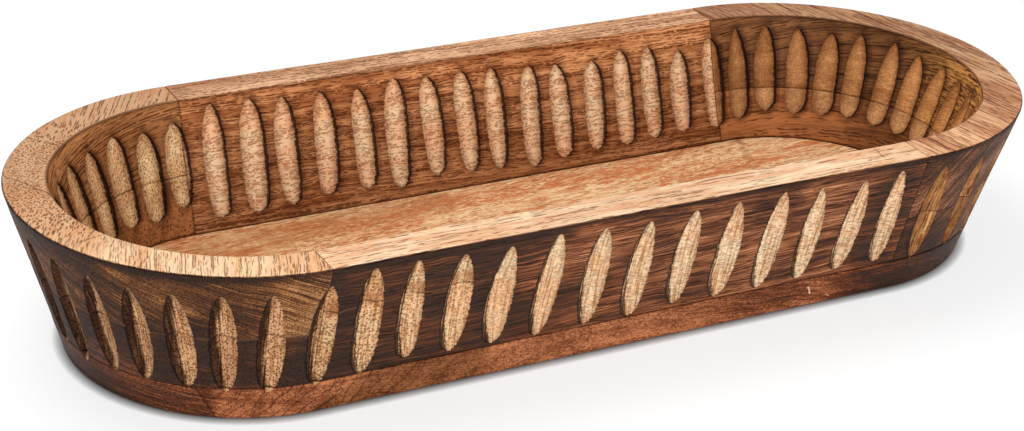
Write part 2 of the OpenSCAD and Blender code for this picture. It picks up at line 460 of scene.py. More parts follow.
def carve(points, flutes):
    """Depth of the carving at wall points, with the gap, the place across and along, and the tone."""
    x, y, z = points
    found = {key: np.zeros(x.shape) for key in ("depth", "across", "along", "tone")}
    found["gap"] = np.full(x.shape, FAR_GAP)
    for i in range(len(flutes["centre"])):
        one = {key: values[i] for key, values in flutes.items()}
        cosine = math.cos(one["heading"])
        sine = math.sin(one["heading"])
        off = x - one["centre"]
        ahead = off * cosine + y * sine
        run = 2 * (z - one["foot"]) / (one["top"] - one["foot"]) - 1
        far = np.minimum(np.abs(run), 1)
        bend = np.where(run < 0, one["low_bend"], one["high_bend"])
        end = np.where(run < 0, one["low_end"], one["high_end"])
        close = np.sqrt(1 - far ** np.where(run < 0, one["low_round"], one["high_round"]))
        swell = (1 - (1 - end) * far ** bend) * close
        middle = (one["foot"] + one["top"]) / 2
        side = y * cosine - off * sine - one["shift"]
        side = side - one["lean"] * (z - middle) - one["bow"] * (1 - run ** 2)
        hand = np.sign(side)
        ripple = sum(np.sin(pitch * z + own * i + flip * hand) for pitch, own, flip in RIPPLES)
        half_here = one["half"] * swell * (1 + RAGGED * ripple)
        above = np.maximum(one["foot"] - z, z - one["top"])
        gap = np.where(above > 0, np.hypot(side, above), np.abs(side) - half_here)
        gap = np.where(ahead > 0, gap, FAR_GAP)
        share = side / np.maximum(half_here, THINNEST)
        flank = np.where(share < one["steep"], -1 - one["steep"], 1 - one["steep"])
        hollow = np.clip(1 - ((share - one["steep"]) / flank) ** 2, 0, 1)
        cut = one["depth"] * (1 - SHALLOW_ENDS * far ** 3) * close * hollow
        found["depth"] = np.where(gap < 0, np.maximum(found["depth"], cut), found["depth"])
        nearer = gap < found["gap"]
        for key, value in (("gap", gap), ("across", side), ("along", z - one["foot"]), ("tone", one["tone"])):
            found[key] = np.where(nearer, value, found[key])
    return found


test = carve((np.array([0.0]), np.array([-90.0]), np.array([44.0])), outer_flutes)
print("depth of the middle flute: %.2f mm" % test["depth"][0])

# %% [markdown]
# ## The section of a wall
#
# Cut through, a wall is a leaning plank with an eased top edge. Its outline is walked once round: up
# the outside, over the rim, down the inside and back along the glue face. Every step keeps the reach
# from the middle line, the height, the direction into the wood and the face that it belongs to. Steps
# are about a millimetre, and closer at the joints, where a hairline groove shows the glue line.

# %% Walk round the section
EDGE_ROUND = 1.0
STEP_UP = 0.85
EDGE_STEPS = 5
RIM_STEPS = 14
GLUE_STEPS = 4
NEAR_JOINT = (0.0, 0.25, 0.55)
TOUCH = 0.01
OUTSIDE, RIM, INSIDE, GLUE = 0, 1, 2, 3


def heights(z_low, z_high, joint_above):
    """Heights of the rows up one face, closer together beside a joint."""
    near = np.array(NEAR_JOINT)
    start = z_low + near
    finish = z_high - near[::-1] if joint_above else np.array([z_high])
    count = int((finish[0] - start[-1]) / STEP_UP)
    middle = np.linspace(start[-1], finish[0], count + 1)[1:-1]
    return np.concatenate([start, middle, finish])


def wall_section(z_low, z_high):
    """The outline of a wall between two heights; it has a rim if it reaches the top."""
    has_rim = z_high > HEIGHT - TOUCH
    top = z_high - EDGE_ROUND if has_rim else z_high
    rise = heights(z_low, top, not has_rim)
    outer_into = np.array((-1, OUTER_SLOPE)) / math.hypot(1, OUTER_SLOPE)
    inner_into = np.array((1, -INNER_SLOPE)) / math.hypot(1, INNER_SLOPE)
    steps = [(outer_reach(z), z, *outer_into, OUTSIDE, 0.0) for z in rise]
    outer_top = outer_reach(top)
    inner_top = inner_reach(top)
    if has_rim:
        for turn in np.linspace(0, math.pi / 2, EDGE_STEPS + 1)[1:]:
            bend = math.sin(turn)
            reach = outer_top - EDGE_ROUND * (1 - math.cos(turn))
            steps.append((reach, top + EDGE_ROUND * bend, -math.cos(turn), -bend, RIM, 1 - bend))
        across = np.linspace(outer_top - EDGE_ROUND, inner_top + EDGE_ROUND, RIM_STEPS + 1)
        steps += [(reach, z_high, 0, -1, RIM, 0.0) for reach in across[1:]]
        for turn in np.linspace(math.pi / 2, 0, EDGE_STEPS + 1)[1:-1]:
            bend = math.sin(turn)
            reach = inner_top + EDGE_ROUND * (1 - math.cos(turn))
            steps.append((reach, top + EDGE_ROUND * bend, math.cos(turn), -bend, RIM, bend - 1))
    else:
        across = np.linspace(outer_top, inner_top, GLUE_STEPS + 1)[1:-1]
        steps += [(reach, z_high, 0, 0, GLUE, 0.0) for reach in across]
    steps += [(inner_reach(z), z, *inner_into, INSIDE, 0.0) for z in rise[::-1]]
    across = np.linspace(inner_reach(z_low), outer_reach(z_low), GLUE_STEPS + 1)[1:-1]
    steps += [(reach, z_low, 0, 0, GLUE, 0.0) for reach in across]
    return np.array(steps)


print("rows round a plank:", len(wall_section(FLOOR_Z, HEIGHT)))

# %% [markdown]
# ## From section to solid
#
# The section is now carried along the wall, column by column, and every point is pushed into the wood
# by the depth of the carving there. Three things go with each point as attributes for the materials:
# which face it is on, how it lies in its flute, and how far it is from the nearest joint. Only pushing
# inwards keeps the carved piece inside the blank. A scraped wall is never quite flat, so a slow waver of
# long and short waves is pushed in as well.

# %% Grooves and waver
GROOVE_DEPTH = 0.22
GROOVE_WIDTH = 0.4
WAVER = 0.35


def groove(joint):
    """Depth of the hairline groove at a joint."""
    return GROOVE_DEPTH * np.exp(-((joint / GROOVE_WIDTH) ** 2))


def waver(x, y, z):
    """The slow unevenness of a hand scraped wall, from nothing to WAVER."""
    slow = np.sin(0.043 * x + 0.031 * z) + np.sin(0.057 * y - 0.047 * z + 1.3)
    quick = np.sin(0.131 * x + 0.09 * y) * np.sin(0.17 * z + 0.4)
    return WAVER * np.clip(0.5 + 0.17 * slow + 0.16 * quick, 0, 1)


def joint_gap(x, y, z, seams, glue_heights):
    """Distance to the nearest joint of the piece."""
    front = np.min([np.abs(x - seam) for seam in seams["front"]], axis=0)
    back = np.min([np.abs(x - seam) for seam in seams["back"]], axis=0)
    gap = np.where(y < 0, front, back)
    for height in glue_heights:
        gap = np.minimum(gap, np.abs(z - height))
    return np.minimum(gap, FAR_GAP)


# %% Carve a grid of points


def carved_grid(x, y, heading, run, section, seams, glue_heights):
    """Pushes a grid of wall points into the wood and notes what each of them is."""
    z, into_reach, into_z, face, edge = [np.broadcast_to(row, x.shape) for row in section.T[1:]]
    outside = carve((x, y, z), outer_flutes)
    inside = carve((x, y, z), inner_flutes)
    is_outside = face == OUTSIDE
    is_inside = face == INSIDE
    joint = joint_gap(x, y, z, seams, glue_heights)
    notes = {"joint_gap": joint, "wall_run": run}
    for key in ("gap", "across", "along", "tone"):
        plain = FAR_GAP if key == "gap" else 0.0
        notes["flute_" + key] = np.where(is_outside, outside[key], np.where(is_inside, inside[key], plain))
    notes["face_outside"] = is_outside + (face == RIM) * np.maximum(edge, 0)
    notes["face_inside"] = is_inside + (face == RIM) * np.maximum(-edge, 0)
    depth = np.where(is_outside, outside["depth"], 0) + np.where(is_inside, inside["depth"], 0)
    push = depth + groove(joint) + waver(x, y, z)
    place = np.stack([
        x + np.cos(heading) * into_reach * push,
        y + np.sin(heading) * into_reach * push,
        z + into_z * push,
    ], axis=-1)
    return place, notes


# %% Close a grid into a piece
SHARP_ANGLE = math.radians(62)


def solid_from_grid(name, place, notes):
    """A closed piece: quads round the section, column after column, and a cap on each end."""
    columns, rows = place.shape[:2]
    index = np.arange(columns * rows).reshape(columns, rows)
    here = index[:-1]
    there = index[1:]
    quads = np.stack([here, np.roll(here, -1, 1), np.roll(there, -1, 1), there], axis=-1)
    faces = quads.reshape(-1, 4).tolist()
    faces.append(index[0][::-1].tolist())
    faces.append(index[-1].tolist())
    mesh = bpy.data.meshes.new(name)
    mesh.from_pydata((place.reshape(-1, 3) * MM).tolist(), [], faces)
    smooth = np.ones(len(faces), bool)
    smooth[-2:] = False
    mesh.polygons.foreach_set("use_smooth", smooth)
    mesh.set_sharp_from_angle(angle=SHARP_ANGLE)
    for key, values in notes.items():
        attribute = mesh.attributes.new(key, "FLOAT", "POINT")
        attribute.data.foreach_set("value", values.astype(np.float32).ravel())
    mesh.validate()
    piece = bpy.data.objects.new(name, mesh)
    bpy.context.scene.collection.objects.link(piece)
    print(name, len(mesh.vertices), "points,", len(mesh.polygons), "faces")
    return piece


# %% [markdown]
# ## The two long planks
#
# The long walls are single planks. Each one is walked from its left seam to its right seam in steps of
# about half a millimetre. The front plank reaches a little past the straight part into the left curve,
# so there the wall bends back on its circle while the cut face of the seam stays flat.

# %% Front and back planks
STEP_ALONG = 0.55


def steps_between(start, finish, step):
    """Even steps from one value to another, closer at both ends for the groove at the seam."""
    near = np.array(NEAR_JOINT) * np.sign(finish - start)
    inner_start = start + near[-1]
    inner_finish = finish - near[-1]
    count = max(int(abs(inner_finish - inner_start) / step), 1)
    middle = np.linspace(inner_start, inner_finish, count + 1)[1:-1]
    return np.concatenate([start + near, middle, (finish - near)[::-1]])


def plank(name, side, seams):
    """A long wall; side is -1 for the front and 1 for the back."""
    section = wall_section(FLOOR_Z, HEIGHT)
    x = steps_between(min(seams), max(seams), STEP_ALONG)
    if side > 0:
        x = x[::-1]
    reach = section[:, 0][None, :]
    x_grid = np.repeat(x[:, None], len(section), axis=1)
    past = np.maximum(np.abs(x_grid) - HALF_STRAIGHT, 0) * np.sign(x_grid)
    y_grid = side * np.sqrt(reach ** 2 - past ** 2)
    heading = np.arctan2(y_grid, past)
    place, notes = carved_grid(x_grid, y_grid, heading, x_grid, section, SEAMS, [FLOOR_Z])
    return solid_from_grid(name, place, notes)


front_plank = plank("front_plank", -1, SEAMS["front"])
back_plank = plank("back_plank", 1, SEAMS["back"])

# %% [markdown]
# ## The four end blocks
#
# Each round end is two blocks, one glued on the other, sawn to the half circle. An end is walked round
# its circle from one seam to the other. Where the seam lies before the curve there is a short straight
# lead, and where the plank already takes up the first bit of the curve the walk starts later. Doing this
# for every reach keeps the sawn faces of the seams flat.

# %% Upper and lower end blocks
ARC_COLUMNS = 470
LEAD_COLUMNS = 5


def end_walk(reach, seam):
    """Straight lead and first angle of an end, for a seam at a distance from the middle of the bowl."""
    lead = max(HALF_STRAIGHT - seam, 0.0)
    missing = np.arcsin(np.clip((seam - HALF_STRAIGHT) / reach, 0, 1))
    return lead, math.pi / 2 - missing


def end_block(name, side, z_low, z_high):
    """One block of an end; side is -1 for the left end and 1 for the right end."""
    section = wall_section(z_low, z_high)
    reach = section[:, 0]
    which = 0 if side < 0 else 1
    back_lead, back_angle = end_walk(reach, abs(SEAMS["back"][which]))
    front_lead, front_angle = end_walk(reach, abs(SEAMS["front"][which]))
    near = np.array(NEAR_JOINT) / HALF_WIDTH / math.pi
    share = np.concatenate([near, np.linspace(near[-1], 1 - near[-1], ARC_COLUMNS)[1:-1], 1 - near[::-1]])
    angle = -front_angle + (front_angle + back_angle) * share[:, None]
    out = HALF_STRAIGHT + reach * np.cos(angle)
    y = reach * np.sin(angle)
    if front_lead > 0:
        lead = np.linspace(-front_lead, 0, LEAD_COLUMNS)[:-1, None]
        out = np.vstack([HALF_STRAIGHT + lead + 0 * reach, out])
        y = np.vstack([-reach + 0 * lead, y])
        angle = np.vstack([-math.pi / 2 + 0 * lead * reach, angle])
    if back_lead > 0:
        lead = np.linspace(0, -back_lead, LEAD_COLUMNS)[1:, None]
        out = np.vstack([out, HALF_STRAIGHT + lead + 0 * reach])
        y = np.vstack([y, reach + 0 * lead])
        angle = np.vstack([angle, math.pi / 2 + 0 * lead * reach])
    heading = angle if side > 0 else math.pi - angle
    x = side * out
    run = side * (HALF_STRAIGHT + HALF_WIDTH * (angle + math.pi / 2))
    if side < 0:
        x, y, heading, run = x[::-1], y[::-1], heading[::-1], run[::-1]
    glue_heights = [z_low] if z_high > HEIGHT - TOUCH else [z_low, z_high]
    place, notes = carved_grid(x, y, heading, run, section, SEAMS, glue_heights)
    return solid_from_grid(name, place, notes)


left_upper = end_block("left_upper_block", -1, LEFT_SPLIT, HEIGHT)
left_lower = end_block("left_lower_block", -1, FLOOR_Z, LEFT_SPLIT)
right_upper = end_block("right_upper_block", 1, RIGHT_SPLIT, HEIGHT)
right_lower = end_block("right_lower_block", 1, FLOOR_Z, RIGHT_SPLIT)

# %% [markdown]
# ## The base board and its front strip
#
# The floor of the bowl is one wide board with a narrow strip glued on along the front. Both are flat
# below and above, with the slope of the wall round the outside and a rounded bottom edge. Their plan is
# a stadium cut off at the glue seam, so each level is one ring: round the ends, along the wall and back
# along the seam. A few flutes run down onto the edge of the board, so the same carving is used here.

# %% Rings of the base
FOOT_ROUND = 3.0
FOOT_STEPS = 6
RING_ARC = 420
RING_WALL = 430
RING_SEAM = 60
SIDE_LEVELS = 16


def base_levels():
    """Reach and height of the rings from the underside to the top of the board."""
    turns = np.linspace(0, math.pi / 2, FOOT_STEPS + 1)
    round_z = FOOT_ROUND * (1 - np.cos(turns))
    round_reach = outer_reach(FOOT_ROUND) - FOOT_ROUND * (1 - np.sin(turns))
    side_z = np.linspace(FOOT_ROUND, FLOOR_Z - NEAR_JOINT[2], SIDE_LEVELS + 1)[1:]
    side_z = np.concatenate([side_z, FLOOR_Z - np.array(NEAR_JOINT[1::-1])])
    return np.concatenate([round_reach, outer_reach(side_z)]), np.concatenate([round_z, side_z])


def base_ring(reach, side):
    """Plan of the board (side 1, behind the seam) or of the strip (side -1, in front of it)."""
    start = math.asin(STRIP_SEAM / reach)
    stop = math.pi / 2 if side > 0 else -math.pi / 2
    turn = np.linspace(start, stop, RING_ARC)
    right_x = HALF_STRAIGHT + reach * np.cos(turn)
    right_y = reach * np.sin(turn)
    wall_x = np.linspace(HALF_STRAIGHT, -HALF_STRAIGHT, RING_WALL + 2)[1:-1]
    wall_y = np.full(RING_WALL, side * reach)
    seam_x = np.linspace(-right_x[0], right_x[0], RING_SEAM + 2)[1:-1]
    seam_y = np.full(RING_SEAM, STRIP_SEAM)
    x = np.concatenate([right_x, wall_x, -right_x[::-1], seam_x])
    y = np.concatenate([right_y, wall_y, right_y[::-1], seam_y])
    left_turn = math.pi - turn[::-1]
    heading = np.concatenate([turn, np.full(RING_WALL, stop), left_turn, np.full(RING_SEAM, np.nan)])
    return x, y, heading


# %% Base pieces


def base_piece(name, side):
    """Board or strip: rings from the underside up, then a flat cap below and above."""
    reaches, levels = base_levels()
    rings = [base_ring(reach, side) for reach in reaches]
    x = np.array([ring[0] for ring in rings])
    y = np.array([ring[1] for ring in rings])
    heading = np.array([ring[2] for ring in rings])
    z = np.repeat(levels[:, None], x.shape[1], axis=1)
    on_wall = ~np.isnan(heading)
    heading = np.nan_to_num(heading)
    cut = carve((x, y, z), outer_flutes)
    joint = np.minimum(np.abs(z - FLOOR_Z), np.where(np.abs(y) < HALF_WIDTH, np.abs(y - STRIP_SEAM), FAR_GAP))
    push = np.where(on_wall, cut["depth"] + groove(np.abs(z - FLOOR_Z)), 0)
    place = np.stack([x - np.cos(heading) * push, y - np.sin(heading) * push, z], axis=-1)
    notes = {"joint_gap": np.minimum(joint, FAR_GAP), "face_outside": np.where(on_wall, 1.0, 0.0)}
    notes["face_inside"] = np.zeros(x.shape)
    for key in ("gap", "across", "along", "tone"):
        notes["flute_" + key] = cut[key]
    if side < 0:
        place = place[:, ::-1]
        notes = {key: values[:, ::-1] for key, values in notes.items()}
    return solid_from_grid(name, place, notes)


base_board = base_piece("base_board_carved", 1)
base_strip = base_piece("base_strip_carved", -1)

# %% [markdown]
# ## Sums with nodes
#
# Shaders do their sums with nodes too: one for every product, every soft step and every cloud of noise.
# The helpers in the next two cells add such nodes, so that a recipe further down reads like a list of
# sums. The most useful one is the soft step. It goes from 0 to 1 between two values, or back from 1 to 0
# if the first value is the higher one.

# %% Sums on numbers


def calc(operation, *values):
    """One sum on numbers."""
    node = add_node("Math", {"operation": operation})
    for socket, value in zip(node.inputs, values):
        feed(socket, value)
    return node.outputs[0]


def times(*values):
    """Several numbers multiplied."""
    product = values[0]
    for value in values[1:]:
        product = calc("MULTIPLY", product, value)
    return product


def grow(value, factor, start):
    """A value times a factor, on top of a start."""
    return calc("MULTIPLY_ADD", value, factor, start)


def rest(share):
    """What a share leaves of 1."""
    return calc("SUBTRACT", 1.0, share)


def most(first, second):
    """The larger of two numbers."""
    return calc("MAXIMUM", first, second)


def ease(value, low, high, to_low=0.0, to_high=1.0):
    """A soft step between two values."""
    node = add_node("MapRange", {"interpolation_type": "SMOOTHSTEP"})
    for socket, number in zip(node.inputs, (value, low, high, to_low, to_high)):
        feed(socket, number)
    return node.outputs[0]


# %% Sums on places and colours
HALF_WAY = (0.5, 0.5, 0.5)
NOWHERE = (0.0, 0.0, 0.0)


def joined(x, y, z):
    """Three numbers as one place."""
    node = add_node("CombineXYZ")
    for socket, value in zip(node.inputs, (x, y, z)):
        feed(socket, value)
    return node.outputs[0]


def parts_of(place):
    """The three numbers of a place."""
    return add_node("SeparateXYZ", Vector=place).outputs


def move(operation, first, second=NOWHERE):
    """One sum on places."""
    node = add_node("VectorMath", {"operation": operation})
    feed(node.inputs[0], first)
    feed(node.inputs[1], second)
    return node.outputs["Value"] if operation in ("LENGTH", "DOT_PRODUCT") else node.outputs[0]


def scaled(place, factors):
    """A place with each direction stretched or squeezed."""
    return move("MULTIPLY", place, factors)


def noise(place, detail=3.0, roughness=0.55):
    """Cloudy noise between 0 and 1 at a place that is already scaled."""
    node = add_node("TexNoise", Vector=place, Scale=1.0, Detail=detail, Roughness=roughness)
    return node.outputs


def cloud(place, low, high, detail=3.0, roughness=0.55, to_low=0.0, to_high=1.0):
    """Cloudy noise with its contrast raised by a soft step."""
    return ease(noise(place, detail, roughness)["Fac"], low, high, to_low, to_high)


def stray(place, scale, detail, reach):
    """A place that wanders with cloudy noise, as far as reach says for each direction."""
    swerve = move("SUBTRACT", noise(scaled(place, scale), detail)["Color"], HALF_WAY)
    return move("ADD", place, scaled(swerve, reach))


def tint(amount, first, second, mode="MIX"):
    """Mixes two colours."""
    node = add_node("Mix", {"data_type": "RGBA", "blend_type": mode})
    for slot, value in ((0, amount), (6, first), (7, second)):
        feed(node.inputs[slot], value)
    return node.outputs[2]


def darken(amount, colour, share):
    """Multiplies a colour by a darker share, by an amount."""
    return tint(amount, colour, share, "MULTIPLY")


# %% [markdown]
# ## Wood figure as a node group
#
# All eight pieces are the same kind of wood, so the figure is made once, as a node group, and placed
# in each finish with its own colours. Wood is solid all the way through: rings round a far away heart,
# fine streaks along the fibre and slow patches of tone. The group therefore works on a place in the
# wood, in millimetres, with the first number running along the fibre. That also makes carved flutes
# show the right cut through the figure, with no flat picture to wrap round them.

# %% Group helpers


def socket_kind(value):
    """The kind of socket for a rest value: none is a place, four numbers are a colour."""
    if value is None:
        return "NodeSocketVector"
    return "NodeSocketColor" if isinstance(value, tuple) else "NodeSocketFloat"


def new_group(name, inputs, outputs):
    """An empty shader group on the desk; returns it with its input and output sockets."""
    group = bpy.data.node_groups.new(name, "ShaderNodeTree")
    desk.tree = group
    for label, value in inputs.items():
        socket = group.interface.new_socket(name=label, in_out="INPUT", socket_type=socket_kind(value))
        if value is not None:
            socket.default_value = value
    for label in outputs:
        kind = "NodeSocketColor" if label == "Color" else "NodeSocketFloat"
        group.interface.new_socket(name=label, in_out="OUTPUT", socket_type=kind)
    return group, group.nodes.new("NodeGroupInput").outputs, group.nodes.new("NodeGroupOutput").inputs


def use_group(group, **inputs):
    """Places a group in the tree, feeds its inputs and returns its outputs."""
    return add_node("Group", {"node_tree": group}, **inputs).outputs


# %% Figure group
WANDER_SCALE = (0.007, 0.02, 0.02)
STREAK_SCALE = (0.03, 0.75, 0.75)
FINE_SCALE = (0.11, 1.9, 1.9)
PATCH_SCALE = (0.014, 0.06, 0.06)
STREAK_STEP = (0.32, 0.68)
PATCH_STEP = (0.3, 0.7)
RING_RISE = (0.0, 0.8)
RING_FALL = (1.0, 0.88)
RING_MEAN = 0.4

figure_group, taken, given = new_group(
    "wood_figure",
    {"Place": None, "Pale": paint(230, 190, 150), "Deep": paint(150, 100, 70), "Ring Width": 7.0,
     "Wander": 13.0, "Rings": 0.5, "Streaks": 0.8, "Patches": 0.5},
    ["Color", "Streak"],
)
across = joined(0.0, taken["Wander"], taken["Wander"])
moved = stray(taken["Place"], WANDER_SCALE, 3.0, across)
heart = move("LENGTH", scaled(moved, (0.0, 1.0, 1.0)))
ring = calc("FRACT", calc("DIVIDE", heart, taken["Ring Width"]))
ring = times(ease(ring, *RING_RISE), ease(ring, *RING_FALL))
streak = cloud(scaled(moved, STREAK_SCALE), *STREAK_STEP, 3.0, 0.6)
fine = cloud(scaled(moved, FINE_SCALE), *STREAK_STEP, 2.0, 0.6)
streak = grow(fine, 0.5, times(streak, 0.5))
patch = cloud(scaled(taken["Place"], PATCH_SCALE), *PATCH_STEP, 2.0)
tone = 0.5
for part, mean, share in ((ring, RING_MEAN, "Rings"), (streak, 0.5, "Streaks"), (patch, 0.5, "Patches")):
    tone = grow(calc("SUBTRACT", part, mean), taken[share], tone)
tone = ease(tone, 0.0, 1.0)
feed(given["Color"], tint(tone, taken["Pale"], taken["Deep"]))
feed(given["Streak"], streak)
print("figure group:", len(desk.tree.nodes), "nodes")

# %% [markdown]
# ## Pores
#
# This wood has open pores: thin tubes along the fibre. Sawn lengthwise they show as fine dark dashes,
# and sawn across as dots. Each cell of a flat Voronoi texture, laid across the fibre, is one tube. A noise
# that runs along the tube breaks it into lengths. The plane of the cut then decides by itself whether a
# dash or a dot is seen.

# %% Pore group
PORE_SWAY = (0.1, 0.28, 0.28)
PORE_SIZES = (0.8, 0.6)
PORE_CORE = 0.45
PORE_BREAKS = (0.36, 0.48)
TUBE_LANES = (41.0, 53.0)

pore_group, taken, given = new_group(
    "wood_pores",
    {"Place": None, "Spacing": 1.4, "Stretch": 4.0, "Size": 0.3, "Wander": 2.5},
    ["Mask"],
)
across = joined(0.0, taken["Wander"], taken["Wander"])
parts = parts_of(stray(taken["Place"], PORE_SWAY, 2.0, across))
share = calc("DIVIDE", 1.0, taken["Spacing"])
flat = joined(times(parts[1], share), times(parts[2], share), 0.0)
cells = add_node("TexVoronoi", {"voronoi_dimensions": "2D"}, Vector=flat, Scale=1.0)
chance = add_node("SeparateColor", Color=cells.outputs["Color"]).outputs
radius = times(taken["Size"], grow(chance[0], *PORE_SIZES))
tube = ease(cells.outputs["Distance"], radius, times(radius, PORE_CORE))
along = times(parts[0], calc("DIVIDE", share, taken["Stretch"]))
along = grow(chance[1], TUBE_LANES[0], along)
own = joined(along, times(chance[2], TUBE_LANES[1]), 0.0)
feed(given["Mask"], times(tube, cloud(own, *PORE_BREAKS, 1.0)))
print("pore group:", len(desk.tree.nodes), "nodes")

# %% [markdown]
# ## Scorching
#
# The outside was gone over with a flame before the last carving. Fire takes the soft growth lines first,
# so the burn runs in streaks along the wall: light brown at a touch, then dark brown, then char. The
# group works on the way along the wall and the height, and the streaks may climb or fall, as the growth
# lines of a slanting block do. It puts out the burnt colour.

# %% Scorch group
CHAR = paint(52, 34, 25)
BROWN_SHARE = (0.47, 0.32, 0.22, 1.0)
BROWN_STEP = (0.05, 0.6)
CHAR_STEP = (0.4, 0.95)
SWAY_SCALE = (0.016, 0.03)
SWAY_RISE = 14.0
LINE_SCALE = (0.011, 0.34)
FINE_LINES = (0.028, 2.3)
BURN_PATCHES = (0.022, 0.05)
PATCH_SEED = 7.0
LINE_WEIGHT = 0.35
FINE_WEIGHT = 0.65
PATCH_WEIGHT = 0.35
MEAN_STREAK = 0.675
SWING = 1.35


def noise_place(run, height, scale, own):
    """A place for noise from two lengths on the wall, each with its scale, and a seed."""
    return joined(times(run, scale[0]), times(height, scale[1]), own)


scorch_group, taken, given = new_group(
    "scorch",
    {"Color": paint(200, 150, 110), "Run": 0.0, "Height": 0.0, "Slope": 0.0, "Seed": 0.0,
     "Contrast": 1.0, "Amount": 0.5},
    ["Color"],
)
run = taken["Run"]
seed = taken["Seed"]
amount = taken["Amount"]
sway = noise(noise_place(run, taken["Height"], SWAY_SCALE, seed), 3.0)["Fac"]
level = grow(run, taken["Slope"], taken["Height"])
level = grow(calc("SUBTRACT", sway, 0.5), SWAY_RISE, level)
lines = cloud(noise_place(run, level, LINE_SCALE, seed), 0.3, 0.7, 3.0, 0.6)
fine = cloud(noise_place(run, level, FINE_LINES, seed), 0.35, 0.65, 3.0, 0.65)
patch_seed = calc("ADD", seed, PATCH_SEED)
patch = cloud(noise_place(run, taken["Height"], BURN_PATCHES, patch_seed), 0.35, 0.65, 2.0)
streak = grow(fine, FINE_WEIGHT, times(lines, LINE_WEIGHT))
streak = grow(patch, PATCH_WEIGHT, streak)
room = times(calc("SUBTRACT", 1.5, amount), ease(amount, 0.0, 0.3))
room = times(room, taken["Contrast"], SWING)
burn = grow(calc("SUBTRACT", streak, MEAN_STREAK), room, amount)
brown = darken(1.0, taken["Color"], BROWN_SHARE)
first = tint(ease(burn, *BROWN_STEP), taken["Color"], brown)
feed(given["Color"], tint(ease(burn, *CHAR_STEP), first, CHAR))
print("scorch group:", len(desk.tree.nodes), "nodes")

# %% [markdown]
# ## Fresh cuts, glue lines and hairlines
#
# The flutes were cut through the scorched skin, so they show paler wood, with fine lines where the gouge
# ran, a dark steep flank, part char and part painted shade, and a torn foot. The mesh carries the gap to
# the edge of each cut, and a little noise on that gap makes the torn fibres of the edge. From the gap the
# group also draws a thin outline, a dark line along the steep flank (part char, part painted shade),
# painted shade on the wall round the cut, strongest beside the steep flank, and a soft painted shade on
# its cheeks. Glue lines are drawn the same way from the distance to the joint. Small checks, where the
# wood has split in drying, are short wandering lines between two points.

# %% Flute group
LANE_STEP = 57.0
TORN_SCALE = (0.9, 0.8)
TORN_FOOT = (7.0, 1.0, 2.0, 4.5)
TOOL_SCALE = (1.3, 0.05)
TOOL_SEED = 19.0
STEEP_SIDE = (0.6, -1.6)
FLANK_STREAKS = 1.3
FLANK_CORE = 0.45
FLANK_LINE_INSIDE = 2.6
OUTLINE_INSIDE = 0.1

flute_group, taken, given = new_group(
    "flute_cut",
    {"Gap": 5.0, "Across": 0.0, "Along": 0.0, "Tone": 0.0, "Burn Reach": 1.5, "Tear": 0.8},
    ["Mask", "Flank Char And Shade", "Tool Lines", "Flute Shadow", "Flank Line", "Outline", "Cheek"],
)
across = taken["Across"]
along = taken["Along"]
lane = times(taken["Tone"], LANE_STEP)
torn = noise(noise_place(across, along, TORN_SCALE, lane), 4.0, 0.7)["Fac"]
tear = times(taken["Tear"], ease(along, *TORN_FOOT))
gap = grow(calc("SUBTRACT", torn, 0.5), tear, taken["Gap"])
tool_seed = calc("ADD", lane, TOOL_SEED)
lines = noise(noise_place(across, along, TOOL_SCALE, tool_seed), 3.0, 0.6)["Fac"]
feed(given["Mask"], ease(gap, 0.2, -0.3))
feed(given["Tool Lines"], ease(lines, 0.45, 0.65))

# Painted shade, with some char: the steep flank of the cut is darkened where it lies in shadow.
side = ease(across, *STEEP_SIDE)
streaky = times(calc("SUBTRACT", lines, 0.5), taken["Burn Reach"], FLANK_STREAKS)
deep = times(taken["Burn Reach"], -1.0)
within = ease(calc("ADD", gap, streaky), deep, times(deep, FLANK_CORE))
patchy = ease(lines, 0.36, 0.6, 0.94, 1.0)
feed(given["Flank Char And Shade"], times(side, within, ease(gap, 0.9, 0.3), patchy))

# A dark line along the steep flank, part char and part painted shade.
flank_line_gap = calc("ABSOLUTE", calc("ADD", gap, FLANK_LINE_INSIDE))
feed(given["Flank Line"], times(side, ease(flank_line_gap, 0.5, 0.15)))
rim_gap = calc("ABSOLUTE", calc("ADD", gap, OUTLINE_INSIDE))
feed(given["Outline"], ease(rim_gap, 0.55, 0.2))
# Painted shade on the wall round the cut, strongest beside the steep flank.
flute_shadow_side = ease(across, 3.0, -3.0, 0.45, 1.0)
feed(given["Flute Shadow"], times(ease(gap, 5.0, 0.2), flute_shadow_side))
cheek_side = ease(across, 2.5, -2.5, 0.75, 1.0)
feed(given["Cheek"], times(cheek_side, ease(gap, -4.6, 0.2)))
print("flute group:", len(desk.tree.nodes), "nodes")

# %% Glue line and hairline groups
GLUE_PATCHES = (0.12, 0.12, 0.12)
HAIR_SCALE = (0.16, 0.16, 0.16)
LINE_CORE = 0.3

joint_group, taken, given = new_group("glue_line", {"Gap": 5.0, "Place": None, "Width": 0.5}, ["Mask"])
patchy = cloud(scaled(taken["Place"], GLUE_PATCHES), 0.3, 0.65, to_low=0.45, to_high=0.95)
line = ease(taken["Gap"], taken["Width"], times(taken["Width"], LINE_CORE))
feed(given["Mask"], times(line, patchy))

hairline_group, taken, given = new_group(
    "hairline",
    {"Place": None, "Start": None, "End": None, "Width": 0.5, "Wander": None},
    ["Mask"],
)
spot = stray(taken["Place"], HAIR_SCALE, 3.0, taken["Wander"])
reach = move("SUBTRACT", taken["End"], taken["Start"])
ahead = move("SUBTRACT", spot, taken["Start"])
ratio = calc("DIVIDE", move("DOT_PRODUCT", ahead, reach), move("DOT_PRODUCT", reach, reach))
ratio = calc("MINIMUM", most(ratio, 0.0), 1.0)
nearest = scaled(reach, joined(ratio, ratio, ratio))
distance = move("LENGTH", move("SUBTRACT", ahead, nearest))
feed(given["Mask"], ease(distance, taken["Width"], times(taken["Width"], LINE_CORE)))
print("glue line and hairline groups made")

